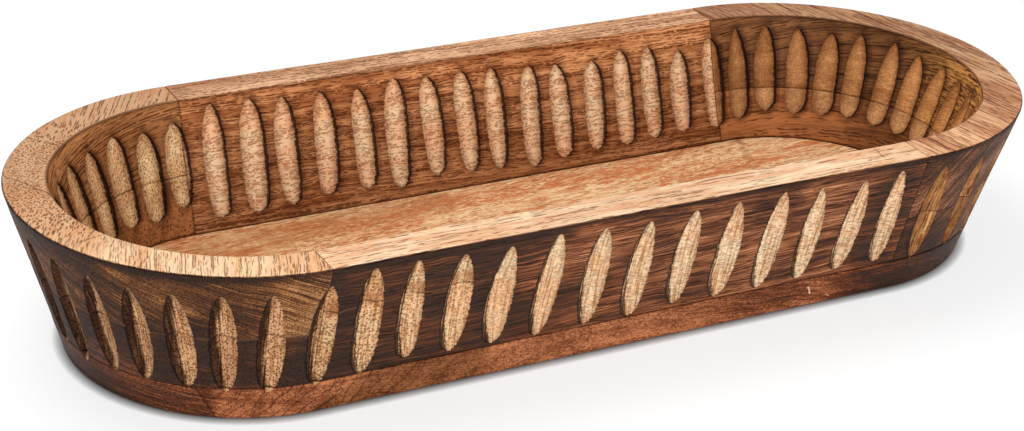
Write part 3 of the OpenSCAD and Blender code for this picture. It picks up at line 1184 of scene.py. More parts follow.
# %% [markdown]
# ## One recipe for the walls
#
# A wall finish asks four questions at every point: which way does the fibre run here, which face is
# this, is it inside a flute, and is it near a joint. The colours of the rim, the outside, the inside and
# the two kinds of flute are mixed first, so that one figure and one set of pores serve them all. Each
# piece then has its own fibre direction and its own colours, as boards from different trees do. A fibre
# is given by its turn in degrees, its curl (how far it climbs, over which span, round which centre) and
# an offset that picks another part of the tree.

# %% Places in the wood
SHEEN = 0.1
RELIEF = 0.0004
STREAK_RIDGE = 0.3
PORE_PIT = 0.7


def wood_place(turn, curl, offset):
    """A place in the wood in millimetres, its first number along the fibre, and the place in the bowl."""
    coordinates = add_node("TexCoord")
    bowl_place = scaled(coordinates.outputs["Object"], (1 / MM, 1 / MM, 1 / MM))
    turned = add_node("Mapping", Vector=bowl_place, Rotation=(0.0, 0.0, math.radians(-turn)))
    parts = parts_of(turned.outputs[0])
    climb, span, centre = curl
    from_centre = calc("DIVIDE", calc("SUBTRACT", parts[0], centre), span)
    bend = times(calc("TANH", from_centre), climb)
    curled = joined(parts[0], parts[1], calc("SUBTRACT", parts[2], bend))
    return move("ADD", curled, offset), bowl_place


def note(name):
    """A number that the mesh carries at its points."""
    return add_node("Attribute", {"attribute_name": name}).outputs["Fac"]


def new_finish(name):
    """A material with a plain shader, laid on the desk; returns it with the shader's inputs."""
    material = bpy.data.materials.new(name)
    material.use_nodes = True
    desk.tree = material.node_tree
    shader = desk.tree.nodes["Principled BSDF"]
    shader.inputs["Specular IOR Level"].default_value = SHEEN
    return material, shader.inputs


def grain_height(grain, pore):
    """The fine relief of the wood: streaks stand up and pores are pits."""
    return grow(pore, -PORE_PIT, times(grain["Streak"], STREAK_RIDGE))


def dress(shader, colour, rough, height, strength):
    """Feeds colour, roughness and fine relief to the shader."""
    feed(shader["Base Color"], colour)
    feed(shader["Roughness"], rough)
    bump = add_node("Bump", Strength=strength, Distance=RELIEF, Height=height)
    feed(shader["Normal"], bump.outputs[0])


# %% [markdown]
# ## Ramps and small marks
#
# Age, fire and light were not even over the bowl. A colour ramp along one direction of the bowl (0 is
# its length, 1 its width and 2 its height) gives such slow changes from a few stops in millimetres.
# Single marks, such as a check, a scratch or a stain, are hairlines with a face, two ends, a width, a
# strength and a colour.

# %% Ramps and marks
RANGE_MM = 240.0
MARK_WANDER = 5.0
MARK_PATCHES = (0.3, 0.3, 0.12)
FAINT = 0.4


def shade_of(value):
    """A plain number as a grey, or three numbers as a colour."""
    return (*np.broadcast_to(value, 3).tolist(), 1.0)


def zone(place, axis, stops):
    """A value or colour that changes along one axis of the bowl, given at a few places in millimetres."""
    share = grow(parts_of(place)[axis], 0.5 / RANGE_MM, 0.5)
    ramp = add_node("ValToRGB", Fac=share)
    elements = ramp.color_ramp.elements
    for element, (where, value) in zip(elements, (stops[0], stops[-1])):
        element.position = where / RANGE_MM / 2 + 0.5
        element.color = shade_of(value)
    for where, value in stops[1:-1]:
        elements.new(where / RANGE_MM / 2 + 0.5).color = shade_of(value)
    return ramp.outputs["Color"]


def draw_marks(colour, bowl_place, faces, marks):
    """Draws hairlines on a colour; each one lies on a face and is flattened onto it."""
    for face, start, end, width, strength, mark_colour in marks:
        keep = (1.0, 1.0, 0.0) if face in ("rim", "top") else (1.0, 0.0, 1.0)
        flat = scaled(bowl_place, keep)
        ends = [tuple(a * b for a, b in zip(point, keep)) for point in (start, end)]
        wander = tuple(MARK_WANDER * share for share in keep)
        mark = use_group(hairline_group, Place=flat, Start=ends[0], End=ends[1], Width=width,
                         Wander=wander)
        patches = scaled(flat, MARK_PATCHES)
        uneven = cloud(patches, 0.3, 0.6, to_low=strength * FAINT, to_high=strength)
        colour = tint(times(mark["Mask"], faces[face], uneven), colour, mark_colour)
    return colour


# %% [markdown]
# ## What a point of a wall is
#
# Everything that the finish asks is gathered once and handed on under one name, at. Inside the
# round ends the streaks of the bare wall were seen to follow the wall, so there the place in the wood may
# be swapped for one that is rolled out along it.

# %% What a point of a wall is
ROLLED_DEPTH = 40.0
ROLLED_RISE = 60.0


def flute_here(**settings):
    """The flute group, fed with what the mesh carries."""
    carried = {key: note("flute_" + key.lower()) for key in ("Gap", "Across", "Along", "Tone")}
    return use_group(flute_group, **carried, **settings)


def wall_point(fibre, flank_reach, tear, follow):
    """The places of a point, its flute and the faces that it may be on."""
    at = SimpleNamespace()
    at.fibre_place, at.bowl_place = wood_place(*fibre)
    at.outside = note("face_outside")
    at.inside = note("face_inside")
    at.run = note("wall_run")
    at.up = parts_of(at.bowl_place)[2]
    outer_flank, inner_flank = flank_reach
    reach = grow(at.inside, inner_flank - outer_flank, outer_flank)
    at.cut = flute_here(Burn_Reach=reach, Tear=tear)
    at.bare = rest(at.cut["Mask"])
    at.faces = {
        "rim": rest(calc("ADD", at.outside, at.inside)),
        "outside": times(at.outside, at.bare),
        "inside": at.inside,
        "outer_flute": times(at.outside, at.cut["Mask"]),
        "inner_wall": times(at.inside, at.bare),
        "inner_flute": times(at.inside, at.cut["Mask"]),
    }
    at.place = at.fibre_place
    if follow is not None:
        level = grow(at.run, follow, at.up)
        rolled = joined(at.run, ROLLED_DEPTH, calc("ADD", level, ROLLED_RISE))
        at.place = tint(at.faces["inner_wall"], at.place, rolled)
    return at


# %% [markdown]
# ## Figure, fire and pores of a wall
#
# The figure is calmer in the flutes, where the gouge left a smooth cut. The fire reaches only the bare
# outside, and a little more of it sits under the rim. Pores are given by spacing, stretch, size and
# wander. In the flutes they are dots where the gouge cut across the fibre and dashes where it ran along
# it. On the rims of the ends the sawn fibre shows as fine combs.

# %% Figure and fire
FLUTE_CALM = 0.6
SOOT = 0.4
SOOT_FROM = 5.0
SOOT_FULL = 0.5


def wall_grain(at, tones, figure):
    """The figure in the pale and deep colours of the faces."""
    pair = []
    for which in (0, 1):
        tone = {face: paint(*colours[which]) for face, colours in tones.items()}
        wall = tint(at.outside, tone["rim"], tone["outside"])
        wall = tint(at.inside, wall, tone["inside"])
        flute = tint(at.inside, tone["outer_flute"], tone["inner_flute"])
        pair.append(tint(at.cut["Mask"], wall, flute))
    calm = grow(at.cut["Mask"], -FLUTE_CALM, 1.0)
    rings, streaks = figure
    return use_group(figure_group, Place=at.place, Pale=pair[0], Deep=pair[1],
                     Rings=times(calm, rings), Streaks=times(calm, streaks))


def wall_scorch(at, colour, burnt, burn_lines):
    """Burns the bare outside by the sum of a few ramps."""
    amount = ease(at.up, HEIGHT - SOOT_FROM, HEIGHT - SOOT_FULL, 0.0, SOOT)
    for axis, stops in burnt:
        amount = calc("ADD", zone(at.bowl_place, axis, stops), amount)
    slope, seed, contrast = burn_lines
    burn = use_group(scorch_group, Color=colour, Run=at.run, Height=at.up, Slope=slope, Seed=seed,
                     Contrast=contrast, Amount=times(at.faces["outside"], amount))
    return burn["Color"]


# %% Pores of a wall
ROUND_STEP = 1.2
DOT_LANE = 300.0
NO_CURL = (0.0, 1.0, 0.0)
COMB = (12.0, 0.42, 1.8)


def pores_at(place, spacing, stretch, size, wander):
    """The pores at a place in the wood."""
    return use_group(pore_group, Place=place, Spacing=spacing, Stretch=stretch, Size=size,
                     Wander=wander)["Mask"]


def flute_dots(at, spacing, stretch, size, wander, dotted):
    """Dots and dashes in the flutes; dotted is a ramp for the share of the dots."""
    lane = times(note("flute_tone"), DOT_LANE)
    rounds = pores_at(joined(lane, at.run, at.up), spacing * ROUND_STEP, 1.0, size, wander)
    dashes = pores_at(at.fibre_place, spacing, stretch, size, wander)
    share = zone(at.bowl_place, 0, dotted) if dotted else 1.0
    return most(times(rounds, share), times(dashes, rest(share)))


def wall_pores(at, fibre, pores, flute_pores, dotted, combed, outer_dots):
    """All pores of a wall: the long ones, the combs on the rim and the dots in the flutes."""
    spacing, stretch, size, wander = pores
    if isinstance(size, list):
        size = zone(at.bowl_place, 1, size)
    pore = pores_at(at.place, spacing, stretch, size, wander)
    if combed:
        turn, spacing, stops = combed
        level_place = wood_place(turn, NO_CURL, fibre[2])[0]
        comb = pores_at(level_place, spacing, *COMB)
        share = times(zone(at.bowl_place, 1, stops), at.faces["rim"])
        pore = grow(calc("SUBTRACT", comb, pore), share, pore)
    *cut_pores, strength = flute_pores
    strength = grow(at.outside, strength * (outer_dots - 1.0), strength)
    strength = times(at.cut["Mask"], strength)
    return grow(flute_dots(at, *cut_pores, dotted), strength, times(pore, at.bare))


# %% [markdown]
# ## Edges and joints of a wall
#
# Edges make carving readable. The steep flank of each flute is darkened, part char and part painted
# shade, a dark line of the same kind runs along it and a thin outline goes all round. Handling and dirt
# have darkened the two edges of the rim and the brim just under it, and painted shade darkens the foot of
# the inside where the wall meets the floor. The glue lines are dark, but on the charred outside of the
# left end the glue is the paler of the two.

# %% Edges and joints
# Colour of the dark steep flanks and flute edges: part char, part painted shade.
EDGE_CHAR_AND_SHADE = (0.08, 0.05, 0.035, 1.0)
OUTER_LINE = 0.25
INNER_LINE = 0.2
# Colour of the dark rim edges, and of the painted shade along the foot of the inside.
RIM_EDGE_AND_FOOT_SHADE = (0.20, 0.15, 0.13, 1.0)
RIM_EDGE_AND_FOOT_SHADE_SHOWS = 0.9
INNER_ARRIS = 0.5
# Height of the painted shade along the foot of the inside.
FOOT_SHADE_HEIGHT = 1.6
FOOT_SHADE_FULL = 0.3
BRIM = 2.4
BRIM_FULL = 0.5
GLUE_DARK = (0.30, 0.24, 0.20, 1.0)
GLUE_PALE = paint(112, 84, 70)


def flute_edges_char_and_shade(at, colour, flank_line, edge):
    """The steep flank, part char and part painted shade, the dark line along it and the thin outline of every
    flute.
    """
    flank_lined = times(at.cut["Flank Line"], at.faces["outer_flute"], flank_line)
    outlined = grow(at.inside, INNER_LINE - OUTER_LINE, OUTER_LINE)
    outlined = times(at.cut["Outline"], calc("ADD", at.outside, at.inside), outlined)
    dark = most(most(at.cut["Flank Char And Shade"], flank_lined), outlined)
    return darken(times(dark, edge), colour, EDGE_CHAR_AND_SHADE)


def arris_lines_and_foot_shade(at, colour, brim):
    """Dark lines on the edges of the rim and under it, and painted shade along the foot of the inside."""
    # Painted shade in the crease where the inside wall meets the floor.
    dark = times(ease(at.up, FLOOR_Z + FOOT_SHADE_HEIGHT, FLOOR_Z + FOOT_SHADE_FULL), at.inside)
    under_rim = times(ease(at.up, HEIGHT - BRIM, HEIGHT - BRIM_FULL), at.inside, brim)
    dark = most(dark, under_rim)
    for face, shows in ((at.outside, 1.0), (at.inside, INNER_ARRIS)):
        arris = times(ease(face, 0.02, 0.3), ease(face, 1.0, 0.7), shows)
        dark = most(dark, arris)
    return darken(times(dark, RIM_EDGE_AND_FOOT_SHADE_SHOWS), colour, RIM_EDGE_AND_FOOT_SHADE)


def glue_at(place):
    """Where a glue line shows."""
    return use_group(joint_group, Gap=note("joint_gap"), Place=place)["Mask"]


def wall_glue(at, colour, pale_glue):
    """Glue lines, dark or, by a share on the bare outside, pale."""
    glue = glue_at(at.place)
    pale = times(at.faces["outside"], pale_glue)
    colour = tint(times(glue, pale), colour, GLUE_PALE)
    return darken(times(glue, rest(pale)), colour, GLUE_DARK)


# %% [markdown]
# ## Putting the wall together
#
# The recipe works from the wood outwards: figure, warm patches, fire, painted shade round the inner
# flutes, the lines of the gouge, pores, the soft painted shade on the cheeks of the flutes, slow shades,
# single marks, edges and glue. Most settings are shares from 0 to 1. A shade names a face, a direction and
# its stops. The pores of the flutes have a fifth number, which is how strongly they show.

# %% Wall finish recipe
FLUTE_SHADOW_SHARE = (0.34, 0.25, 0.19, 1.0)
LINE_SHARE = (0.60, 0.42, 0.29, 1.0)
PORE_DARK = (0.27, 0.17, 0.11, 1.0)
PORE_WARM = (0.42, 0.26, 0.16, 1.0)
PORE_SHOWS = 0.88
CHEEK_SHARE = (0.46, 0.34, 0.25, 1.0)
CHEEK = 0.92
WALL_ROUGH = 0.48
STREAK_ROUGH = 0.12
FLUTE_ROUGH = 0.15
LINE_PIT = 0.6
WALL_RELIEF = 0.7


def wall_finish(name, fibre, pores, flute_pores, figure, tones, burnt, burn_lines, flank_reach, flute_shadow,
                lines=0.9, flank_line=0.3, tear=0.45, brim=0.4, edge=0.95, dotted=None, combed=None,
                outer_dots=1.0, outer_cheek=0.0, follow=None, pale_glue=0.0, shades=(), warm=(), marks=()):
    """The finish of a wall piece, from the wood up to its small marks."""
    material, shader = new_finish(name)
    at = wall_point(fibre, flank_reach, tear, follow)
    grain = wall_grain(at, tones, figure)
    colour = grain["Color"]
    for face, axis, stops, warm_colour in warm:
        soft = ease(grain["Streak"], 0.75, 0.35)
        amount = times(at.faces[face], zone(at.bowl_place, axis, stops), soft)
        colour = tint(amount, colour, warm_colour)
    colour = wall_scorch(at, colour, burnt, burn_lines)
    # Painted shade on the inner wall round each flute.
    colour = darken(times(at.cut["Flute Shadow"], at.faces["inner_wall"], flute_shadow), colour, FLUTE_SHADOW_SHARE)
    lined = times(at.cut["Tool Lines"], at.faces["outer_flute"])
    colour = darken(times(lined, lines), colour, LINE_SHARE)
    pore = wall_pores(at, fibre, pores, flute_pores, dotted, combed, outer_dots)
    pore_share = tint(at.faces["inner_flute"], PORE_DARK, PORE_WARM)
    colour = darken(times(pore, PORE_SHOWS), colour, pore_share)
    hollow = times(at.faces["inner_flute"], CHEEK)
    hollow = grow(at.faces["outer_flute"], outer_cheek, hollow)
    colour = darken(times(at.cut["Cheek"], hollow), colour, CHEEK_SHARE)
    for face, axis, stops in shades:
        colour = darken(at.faces[face], colour, zone(at.bowl_place, axis, stops))
    colour = draw_marks(colour, at.bowl_place, at.faces, marks)
    colour = flute_edges_char_and_shade(at, colour, flank_line, edge)
    colour = arris_lines_and_foot_shade(at, colour, brim)
    colour = wall_glue(at, colour, pale_glue)
    rough = grow(grain["Streak"], STREAK_ROUGH, WALL_ROUGH)
    rough = grow(at.cut["Mask"], FLUTE_ROUGH, rough)
    height = grow(lined, -LINE_PIT, grain_height(grain, pore))
    dress(shader, colour, rough, height, WALL_RELIEF)
    print(name, "with", len(desk.tree.nodes), "nodes")
    return material


# %% [markdown]
# ## The planks' finishes
#
# The planks run with the fibre along the bowl. In front the outside is charred almost black on the left
# and clears to streaky brown towards the right, before it darkens again at the last flute. Inside, the
# walls are a warm mid brown and the flutes are pale. An old drying check wanders through the first few
# flutes in front and has drawn a brown stain beside it. Colours are written as an image editor shows
# them, a pale one and a deep one for each face.

# %% Plank finishes
CHECK_BROWN = paint(104, 68, 44)
CHECK_DARK = paint(64, 40, 28)
STAIN_BROWN = paint(160, 98, 56)
PALE_SCRATCH = paint(246, 206, 158)
PLANK_OUTSIDE = ((206, 140, 98), (150, 98, 68))

front_finish = wall_finish(
    "front_plank_wood",
    fibre=(0.0, (4.0, 90.0, 0.0), (0.0, 30.0, 60.0)),
    pores=(1.2, 9.0, 0.28, 2.5),
    flute_pores=(1.0, 3.2, 0.5, 1.6, 0.95),
    outer_cheek=0.36,
    figure=(0.3, 1.3),
    tones={
        "rim": ((255, 227, 188), (236, 176, 132)),
        "outside": PLANK_OUTSIDE,
        "inside": ((206, 140, 96), (146, 90, 56)),
        "outer_flute": ((255, 232, 194), (255, 202, 155)),
        "inner_flute": ((255, 210, 164), (214, 156, 112)),
    },
    burnt=[(0, [(-146, 0.95), (-70, 0.84), (-30, 0.62), (60, 0.52), (100, 0.55), (124, 0.82), (140, 0.62)])],
    burn_lines=(0.0, 3.0, 0.8),
    flank_reach=(3.5, 0.8),
    flute_shadow=0.7,
    flank_line=1.0,
    tear=0.8,
    dotted=[(-150, 1.0), (-90, 0.8), (-30, 0.4), (140, 0.3)],
    shades=[
        ("rim", 0, [(-150, 1.0), (10, 0.92), (90, 1.0), (140, (0.95, 0.84, 0.78))]),
        ("outer_flute", 0, [(-150, (0.72, 0.62, 0.5)), (-115, (0.9, 0.83, 0.74)), (20, 1.0)]),
    ],
    marks=[
        ("outer_flute", (-150.0, 0.0, 53.0), (-70.0, 0.0, 58.0), 5.0, 0.75, STAIN_BROWN),
        ("outer_flute", (-150.0, 0.0, 52.5), (-70.0, 0.0, 54.0), 0.55, 0.9, CHECK_DARK),
        ("outside", (-150.0, 0.0, 52.5), (-70.0, 0.0, 54.0), 0.7, 0.8, CHECK_BROWN),
        ("rim", (120.2, -82.5, 0.0), (119.0, -92.0, 0.0), 0.5, 0.8, CHECK_BROWN),
    ],
)
back_finish = wall_finish(
    "back_plank_wood",
    fibre=(0.0, (-3.0, 110.0, 0.0), (40.0, -20.0, 75.0)),
    pores=(0.82, 3.4, 0.48, 2.6),
    flute_pores=(0.9, 1.8, 0.52, 4.5, 1.0),
    outer_cheek=0.4,
    figure=(0.35, 0.75),
    tones={
        "rim": ((248, 196, 152), (186, 128, 88)),
        "outside": PLANK_OUTSIDE,
        "inside": ((238, 168, 112), (162, 96, 52)),
        "outer_flute": ((255, 224, 184), (246, 192, 148)),
        "inner_flute": ((255, 231, 190), (255, 195, 150)),
    },
    burnt=[(0, [(-146, 0.9), (-40, 0.65), (30, 0.8), (140, 0.7)])],
    burn_lines=(0.0, 11.0, 0.75),
    flank_reach=(2.9, 0.8),
    flute_shadow=0.7,
    tear=0.8,
    dotted=[(-150, 0.1), (140, 0.1)],
    shades=[
        ("rim", 0, [(-150, 0.86), (0, 0.94), (140, 1.0)]),
        ("inner_wall", 2, [(16, 0.74), (30, 0.76), (55, 0.78), (70, 1.0)]),
    ],
)

# %% [markdown]
# ## The left end's finishes
#
# The end blocks were sawn with the fibre slanting across the bowl. On the left the fibre also climbs
# steeply at the tip, so the rim shows dots there and combs and dashes near the planks. A few drying checks
# run across this rim. Both blocks were burnt dark outside, and what the two have in common is written once.

# %% Left end finishes
LEFT_END = {
    "flute_pores": (0.9, 1.0, 0.46, 2.0, 1.0),
    "flank_reach": (4.6, 0.7),
    "flute_shadow": 0.95,
    "edge": 1.0,
    "pale_glue": 0.7,
}
LEFT_CUTS = ((240, 190, 142), (190, 138, 98))

left_upper_finish = wall_finish(
    "left_upper_wood",
    fibre=(62.0, (34.0, 32.0, -82.0), (0.0, 210.0, 30.0)),
    pores=(1.0, 5.0, [(-100, 0.3), (-30, 0.44), (40, 0.45), (100, 0.34)], 1.2),
    figure=(0.1, 0.7),
    tones={
        "rim": ((255, 219, 175), (234, 172, 122)),
        "outside": ((200, 146, 94), (146, 104, 66)),
        "inside": ((204, 142, 88), (144, 92, 52)),
        "outer_flute": LEFT_CUTS,
        "inner_flute": ((255, 228, 178), (220, 170, 120)),
    },
    burnt=[
        (2, [(42, 0.45), (58, 0.3), (72, 0.4)]),
        (0, [(-240, 0.35), (-190, 0.45), (-172, 0.4), (-160, 0.12), (-146, 0.0)]),
    ],
    burn_lines=(0.4, 21.0, 0.9),
    brim=0.85,
    combed=(70.0, 0.7, [(-100, 0.9), (-60, 0.9), (-30, 0.0)]),
    follow=0.1,
    shades=[
        ("rim", 1, [(-100, 1.0), (-55, 0.97), (-20, (0.76, 0.67, 0.62)), (100, (0.6, 0.5, 0.45))]),
    ],
    marks=[
        ("rim", (-213.4, 67.0, 0.0), (-203.8, 52.6, 0.0), 0.6, 0.8, CHECK_BROWN),
        ("rim", (-233.0, 31.0, 0.0), (-220.6, 6.2, 0.0), 0.6, 0.8, CHECK_BROWN),
        ("rim", (-226.0, -40.9, 0.0), (-213.7, -36.2, 0.0), 0.45, 0.8, CHECK_BROWN),
        ("rim", (-211.4, -69.9, 0.0), (-203.6, -61.0, 0.0), 0.45, 0.8, CHECK_BROWN),
        ("inside", (-236.0, 0.0, 69.5), (-142.0, 0.0, 68.0), 0.5, 0.6, CHECK_BROWN),
    ],
    **LEFT_END,
)
left_lower_finish = wall_finish(
    "left_lower_wood",
    fibre=(84.0, (10.0, 60.0, 0.0), (20.0, 190.0, 80.0)),
    pores=(1.5, 4.0, 0.25, 2.5),
    figure=(0.3, 0.8),
    tones={
        "rim": ((236, 194, 154), (176, 126, 94)),
        "outside": ((190, 132, 98), (140, 96, 74)),
        "inside": ((186, 122, 72), (124, 78, 44)),
        "outer_flute": LEFT_CUTS,
        "inner_flute": ((255, 220, 168), (212, 162, 112)),
    },
    burnt=[(2, [(16, 0.85), (42, 0.96)])],
    burn_lines=(0.1, 27.0, 0.9),
    **LEFT_END,
)

# %% [markdown]
# ## The right end's finishes
#
# On the right the fibre runs slanting over the end, with some golden sapwood on the inside and combs all
# along the rim. The outer flutes are cut deep into brown wood, and in the first two of them the wood has
# split: dark cracks, with a little gold beside them where fresh fibre shows.

# %% Right end finishes
SAPWOOD = paint(238, 170, 92)
SPLIT_GOLD = paint(232, 184, 120)
RIGHT_END = {
    "flute_pores": (1.0, 3.6, 0.54, 3.2, 1.0),
    "figure": (0.3, 0.8),
    "flank_reach": (3.6, 0.8),
    "flute_shadow": 0.95,
    "lines": 1.0,
    "flank_line": 0.9,
    "dotted": [(130, 0.5), (240, 0.5)],
    "outer_dots": 0.6,
}
RIGHT_OUTSIDE = {
    "outside": ((190, 132, 96), (140, 96, 70)),
    "outer_flute": ((214, 154, 98), (136, 88, 50)),
}

right_upper_finish = wall_finish(
    "right_upper_wood",
    fibre=(-74.0, (8.0, 70.0, 0.0), (0.0, -160.0, 50.0)),
    pores=(0.95, 9.0, 0.36, 1.4),
    tones={
        "rim": ((255, 200, 152), (200, 132, 90)),
        "inside": ((164, 108, 62), (102, 62, 34)),
        "inner_flute": ((234, 174, 114), (178, 120, 70)),
        **RIGHT_OUTSIDE,
    },
    burnt=[(0, [(137, 0.64), (190, 0.52), (240, 0.62)])],
    burn_lines=(-0.9, 33.0, 1.0),
    combed=(-82.0, 1.05, [(-100, 1.0), (100, 1.0)]),
    shades=[
        ("rim", 1, [(-100, 1.0), (-60, 0.84), (0, 0.66), (100, (0.54, 0.49, 0.46))]),
        ("inner_flute", 1, [(-90, 1.0), (15, 1.0), (45, 0.86), (90, 0.86)]),
        # Painted shade: the bare inner wall between the flutes is darker over the back half of the end.
        ("inner_wall", 1, [(-90, 1.0), (-25, 1.0), (5, 0.62), (60, 0.62), (85, 0.95)]),
    ],
    brim=0.8,
    follow=0.12,
    warm=[
        ("inner_wall", 1, [(-90, 0.6), (-5, 0.7), (28, 0.0)], SAPWOOD),
        ("inner_flute", 1, [(-90, 0.4), (-5, 0.35), (28, 0.0)], SAPWOOD),
    ],
    marks=[
        ("rim", (195.8, -60.8, 0.0), (199.8, -80.1, 0.0), 0.5, 0.8, CHECK_BROWN),
        ("rim", (137.8, -81.0, 0.0), (137.8, -100.0, 0.0), 0.5, 0.7, PALE_SCRATCH),
        ("outer_flute", (149.0, 0.0, 40.0), (152.0, 0.0, 62.0), 0.6, 0.9, CHECK_DARK),
        ("outer_flute", (176.5, 0.0, 42.0), (178.5, 0.0, 60.0), 1.1, 0.9, CHECK_DARK),
        ("outer_flute", (172.0, 0.0, 40.0), (174.5, 0.0, 58.0), 0.6, 0.8, SPLIT_GOLD),
    ],
    **RIGHT_END,
)
right_lower_finish = wall_finish(
    "right_lower_wood",
    fibre=(-70.0, (8.0, 70.0, 0.0), (30.0, -140.0, 90.0)),
    pores=(1.5, 4.0, 0.24, 2.5),
    tones={
        "rim": ((210, 156, 118), (154, 108, 82)),
        "inside": ((206, 132, 78), (140, 86, 48)),
        "inner_flute": ((234, 180, 124), (180, 128, 84)),
        **RIGHT_OUTSIDE,
    },
    burnt=[(0, [(137, 0.8), (190, 0.7), (240, 0.8)])],
    burn_lines=(-0.6, 41.0, 1.0),
    follow=0.05,
    marks=[
        ("outer_flute", (147.5, 0.0, 22.0), (150.5, 0.0, 40.0), 0.6, 0.9, CHECK_DARK),
        ("outer_flute", (151.5, 0.0, 28.0), (153.0, 0.0, 40.0), 0.9, 0.9, SPLIT_GOLD),
        ("outer_flute", (172.0, 0.0, 24.0), (175.5, 0.0, 40.0), 0.6, 0.9, CHECK_DARK),
    ],
    shades=[("inner_wall", 1, [(-90, 0.8), (-10, 0.43), (15, 0.45), (50, 0.95)])],
    **RIGHT_END,
)

# %% [markdown]
# ## One recipe for the base
#
# The floor is a wide flat-sawn board in a honey colour with long arched figure: the fibre dips slowly
# through its thickness, so the growth rings come out as arches. Its edge, and the strip in front, were only
# lightly scorched and stay a reddish brown. The strip was sawn slanting, so growth lines cross its edge,
# and a slanting band of it is a shade darker. At the left end some flutes run down onto the edge, and
# there the fresh cut shows.

# %% What a point of the base is
FLOOR_EDGE = 68.0
FLOOR_FADE = 2.0
FACING_UP = (0.5, 0.9)


def base_point(fibre):
    """The places of a point, and whether it is on the floor of the bowl or on the edge of the base."""
    at = SimpleNamespace()
    at.place, at.bowl_place = wood_place(*fibre)
    at.spot = parts_of(at.bowl_place)
    facing = add_node("NewGeometry").outputs["Normal"]
    upward = ease(parts_of(facing)[2], *FACING_UP)
    beyond = calc("SUBTRACT", calc("ABSOLUTE", at.spot[0]), HALF_STRAIGHT)
    beyond = most(beyond, 0.0)
    from_middle = calc("ADD", times(beyond, beyond), times(at.spot[1], at.spot[1]))
    from_middle = calc("SQRT", from_middle)
    at.top = times(upward, ease(from_middle, FLOOR_EDGE + FLOOR_FADE, FLOOR_EDGE))
    at.edge = rest(at.top)
    return at


# %% Growth lines, bands and cuts of the base
GROWTH_SHARE = (0.34, 0.25, 0.20, 1.0)
GROWTH_RIPPLE = (0.05, 0.05, 0.05)
GROWTH_SWAY = 16.0
GROWTH_LINE = (0.09, 0.02)
BAND_SHARE = (0.62, 0.62, 0.52, 1.0)
FOOT_CUT = paint(226, 174, 124)
FOOT_FLANK_REACH = 2.5
EDGE_PORES = 0.7


def growth_lines(at, colour, slant, spacing, stops):
    """Slanting growth lines across the edge, as strong as a ramp says."""
    ripple = noise(scaled(at.bowl_place, GROWTH_RIPPLE), 2.0)["Fac"]
    leaned = grow(at.spot[2], -slant, at.spot[0])
    leaned = grow(ripple, GROWTH_SWAY, leaned)
    part = calc("FRACT", calc("DIVIDE", leaned, spacing))
    line = ease(calc("ABSOLUTE", calc("SUBTRACT", part, 0.5)), *GROWTH_LINE)
    line = times(line, at.edge, zone(at.bowl_place, 0, stops))
    return darken(line, colour, GROWTH_SHARE)


def slanting_band(at, colour, sides):
    """A darker band across the edge; each of its sides has its own slant and ramp."""
    band = 1.0
    for slant, stops in sides:
        leaned = joined(grow(at.spot[2], -slant, at.spot[0]), at.spot[1], at.spot[2])
        band = times(zone(leaned, 0, stops), band)
    return darken(times(band, at.edge), colour, BAND_SHARE)


def foot_cuts(at, colour, pore):
    """The feet of the flutes that run down onto the edge."""
    cut = flute_here(Burn_Reach=FOOT_FLANK_REACH)
    fresh = tint(cut["Tool Lines"], FOOT_CUT, darken(1.0, FOOT_CUT, LINE_SHARE))
    fresh = darken(times(pore, EDGE_PORES), fresh, PORE_DARK)
    # The steep flank of each foot is darkened, part char and part painted shade.
    fresh = darken(cut["Flank Char And Shade"], fresh, EDGE_CHAR_AND_SHADE)
    return tint(times(cut["Mask"], at.edge), colour, fresh)


# %% Base finish recipe
BASE_CONTRAST = 0.7
BASE_SLOPE = 0.1
BASE_SEED = 57.0
FEWER_ON_TOP = 0.15
BASE_ROUGH = 0.46
BASE_RELIEF = 0.6


def base_finish(name, fibre, pores, figure, top, edge, burnt, floor_shade_ramp=None, growth=None, bands=(),
                marks=()):
    """The finish of a base piece: colours on top and edge, scorch, growth lines, band, marks and cuts."""
    material, shader = new_finish(name)
    at = base_point(fibre)
    pair = [tint(at.top, paint(*edge[which]), paint(*top[which])) for which in (0, 1)]
    ring_width, wander, rings, streaks = figure
    grain = use_group(figure_group, Place=at.place, Pale=pair[0], Deep=pair[1], Ring_Width=ring_width,
                      Wander=wander, Rings=rings, Streaks=streaks)
    amount = times(at.edge, zone(at.bowl_place, *burnt))
    burn = use_group(scorch_group, Color=grain["Color"], Run=at.spot[0], Height=at.spot[2],
                     Slope=BASE_SLOPE, Seed=BASE_SEED, Contrast=BASE_CONTRAST, Amount=amount)
    pore = pores_at(at.place, *pores)
    pore_depth = grow(at.top, -FEWER_ON_TOP, EDGE_PORES)
    colour = darken(times(pore, pore_depth), burn["Color"], PORE_DARK)
    # Painted shade on the floor of the bowl, from a ramp along its length.
    if floor_shade_ramp:
        colour = darken(at.top, colour, zone(at.bowl_place, 0, floor_shade_ramp))
    if growth:
        colour = growth_lines(at, colour, *growth)
    if bands:
        colour = slanting_band(at, colour, bands)
    colour = draw_marks(colour, at.bowl_place, {"edge": at.edge, "top": at.top}, marks)
    colour = foot_cuts(at, colour, pore)
    colour = darken(times(glue_at(at.place), at.edge), colour, GLUE_DARK)
    rough = grow(grain["Streak"], STREAK_ROUGH, BASE_ROUGH)
    dress(shader, colour, rough, grain_height(grain, pore), BASE_RELIEF)
    print(name, "with", len(desk.tree.nodes), "nodes")
    return material


# %% [markdown]
# ## The base pieces' finishes
#
# The figure of a base piece is given by the width of its rings, how far they wander, and how strongly
# rings and streaks show. On the floor of the bowl a broad painted shadow lies near the back wall, and
# painted shade darkens the floor towards the left end. The strip has two pale scratches on its edge.

# %% Base finishes
# Colour of the painted shadow on the floor of the bowl.
FLOOR_SHADOW_BROWN = paint(176, 106, 58)

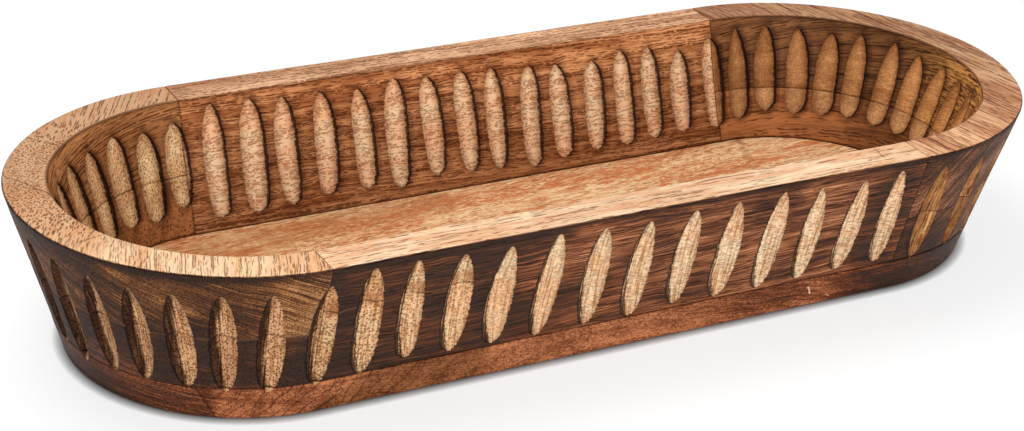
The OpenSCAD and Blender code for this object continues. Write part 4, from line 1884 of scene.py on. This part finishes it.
board_finish = base_finish(
    "base_board_wood",
    fibre=(3.0, (70.0, 420.0, 0.0), (0.0, 26.0, 36.0)),
    pores=(1.1, 14.0, 0.30, 4.0),
    figure=(7.5, 22.0, 0.2, 1.4),
    top=((255, 218, 166), (212, 126, 74)),
    edge=((196, 126, 84), (126, 76, 48)),
    burnt=(0, [(-240, 0.7), (-176, 0.66), (-140, 0.4), (0, 0.25), (240, 0.8)]),
    # Painted shade: the floor darkens towards the left end, and a broad painted shadow lies near the back
    # wall.
    floor_shade_ramp=[(-220, (0.86, 0.78, 0.7)), (-80, (0.9, 0.84, 0.78)), (-30, 1.0), (220, 1.0)],
    marks=[
        ("top", (-150.0, 44.0, 0.0), (-25.0, 52.0, 0.0), 16.0, 0.6, FLOOR_SHADOW_BROWN),
    ],
)
strip_finish = base_finish(
    "base_strip_wood",
    fibre=(38.0, (4.0, 120.0, 0.0), (30.0, 60.0, 40.0)),
    pores=(1.1, 3.0, 0.30, 2.0),
    figure=(9.0, 10.0, 0.25, 0.9),
    top=((255, 214, 160), (186, 108, 60)),
    edge=((206, 132, 88), (130, 72, 40)),
    burnt=(0, [(-240, 0.7), (-186, 0.66), (-172, 0.16), (20, 0.13), (90, 0.32), (135, 0.85), (240, 1.0)]),
    growth=(0.7, 6.2, [(-240, 0.3), (-150, 0.95), (-110, 0.85), (-60, 0.25), (240, 0.15)]),
    bands=[
        (1.526, [(-146.4, 0.0), (-145.0, 1.0), (200, 1.0)]),
        (0.35, [(-200, 1.0), (-71.4, 1.0), (-70.2, 0.0)]),
    ],
    marks=[
        ("edge", (93.8, 0.0, 11.6), (95.6, 0.0, 7.8), 0.5, 0.9, PALE_SCRATCH),
        ("edge", (105.4, 0.0, 4.3), (107.0, 0.0, 3.0), 0.45, 0.8, PALE_SCRATCH),
    ],
)

# %% [markdown]
# ## Handing the pieces over
#
# Each carved piece stands for one solid of the frame, rides on the one body that the bowl has, and
# names the slot that its finish belongs to. The solids stay underneath for the simulation.

# %% Place the pieces in the frame
PIECES = [
    (front_plank, front_finish, "front_wall", "side_plank"),
    (back_plank, back_finish, "back_wall", "side_plank"),
    (left_upper, left_upper_finish, "left_end_upper", "end_block"),
    (left_lower, left_lower_finish, "left_end_lower", "end_block"),
    (right_upper, right_upper_finish, "right_end_upper", "end_block"),
    (right_lower, right_lower_finish, "right_end_lower", "end_block"),
    (base_board, board_finish, "base_board", "base_board"),
    (base_strip, strip_finish, "base_front_strip", "base_strip"),
]
for piece, finish, node, slot in PIECES:
    piece.data.materials.append(finish)
    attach(piece, "root")
    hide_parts(node)
    print(piece.name, "stands for", node)
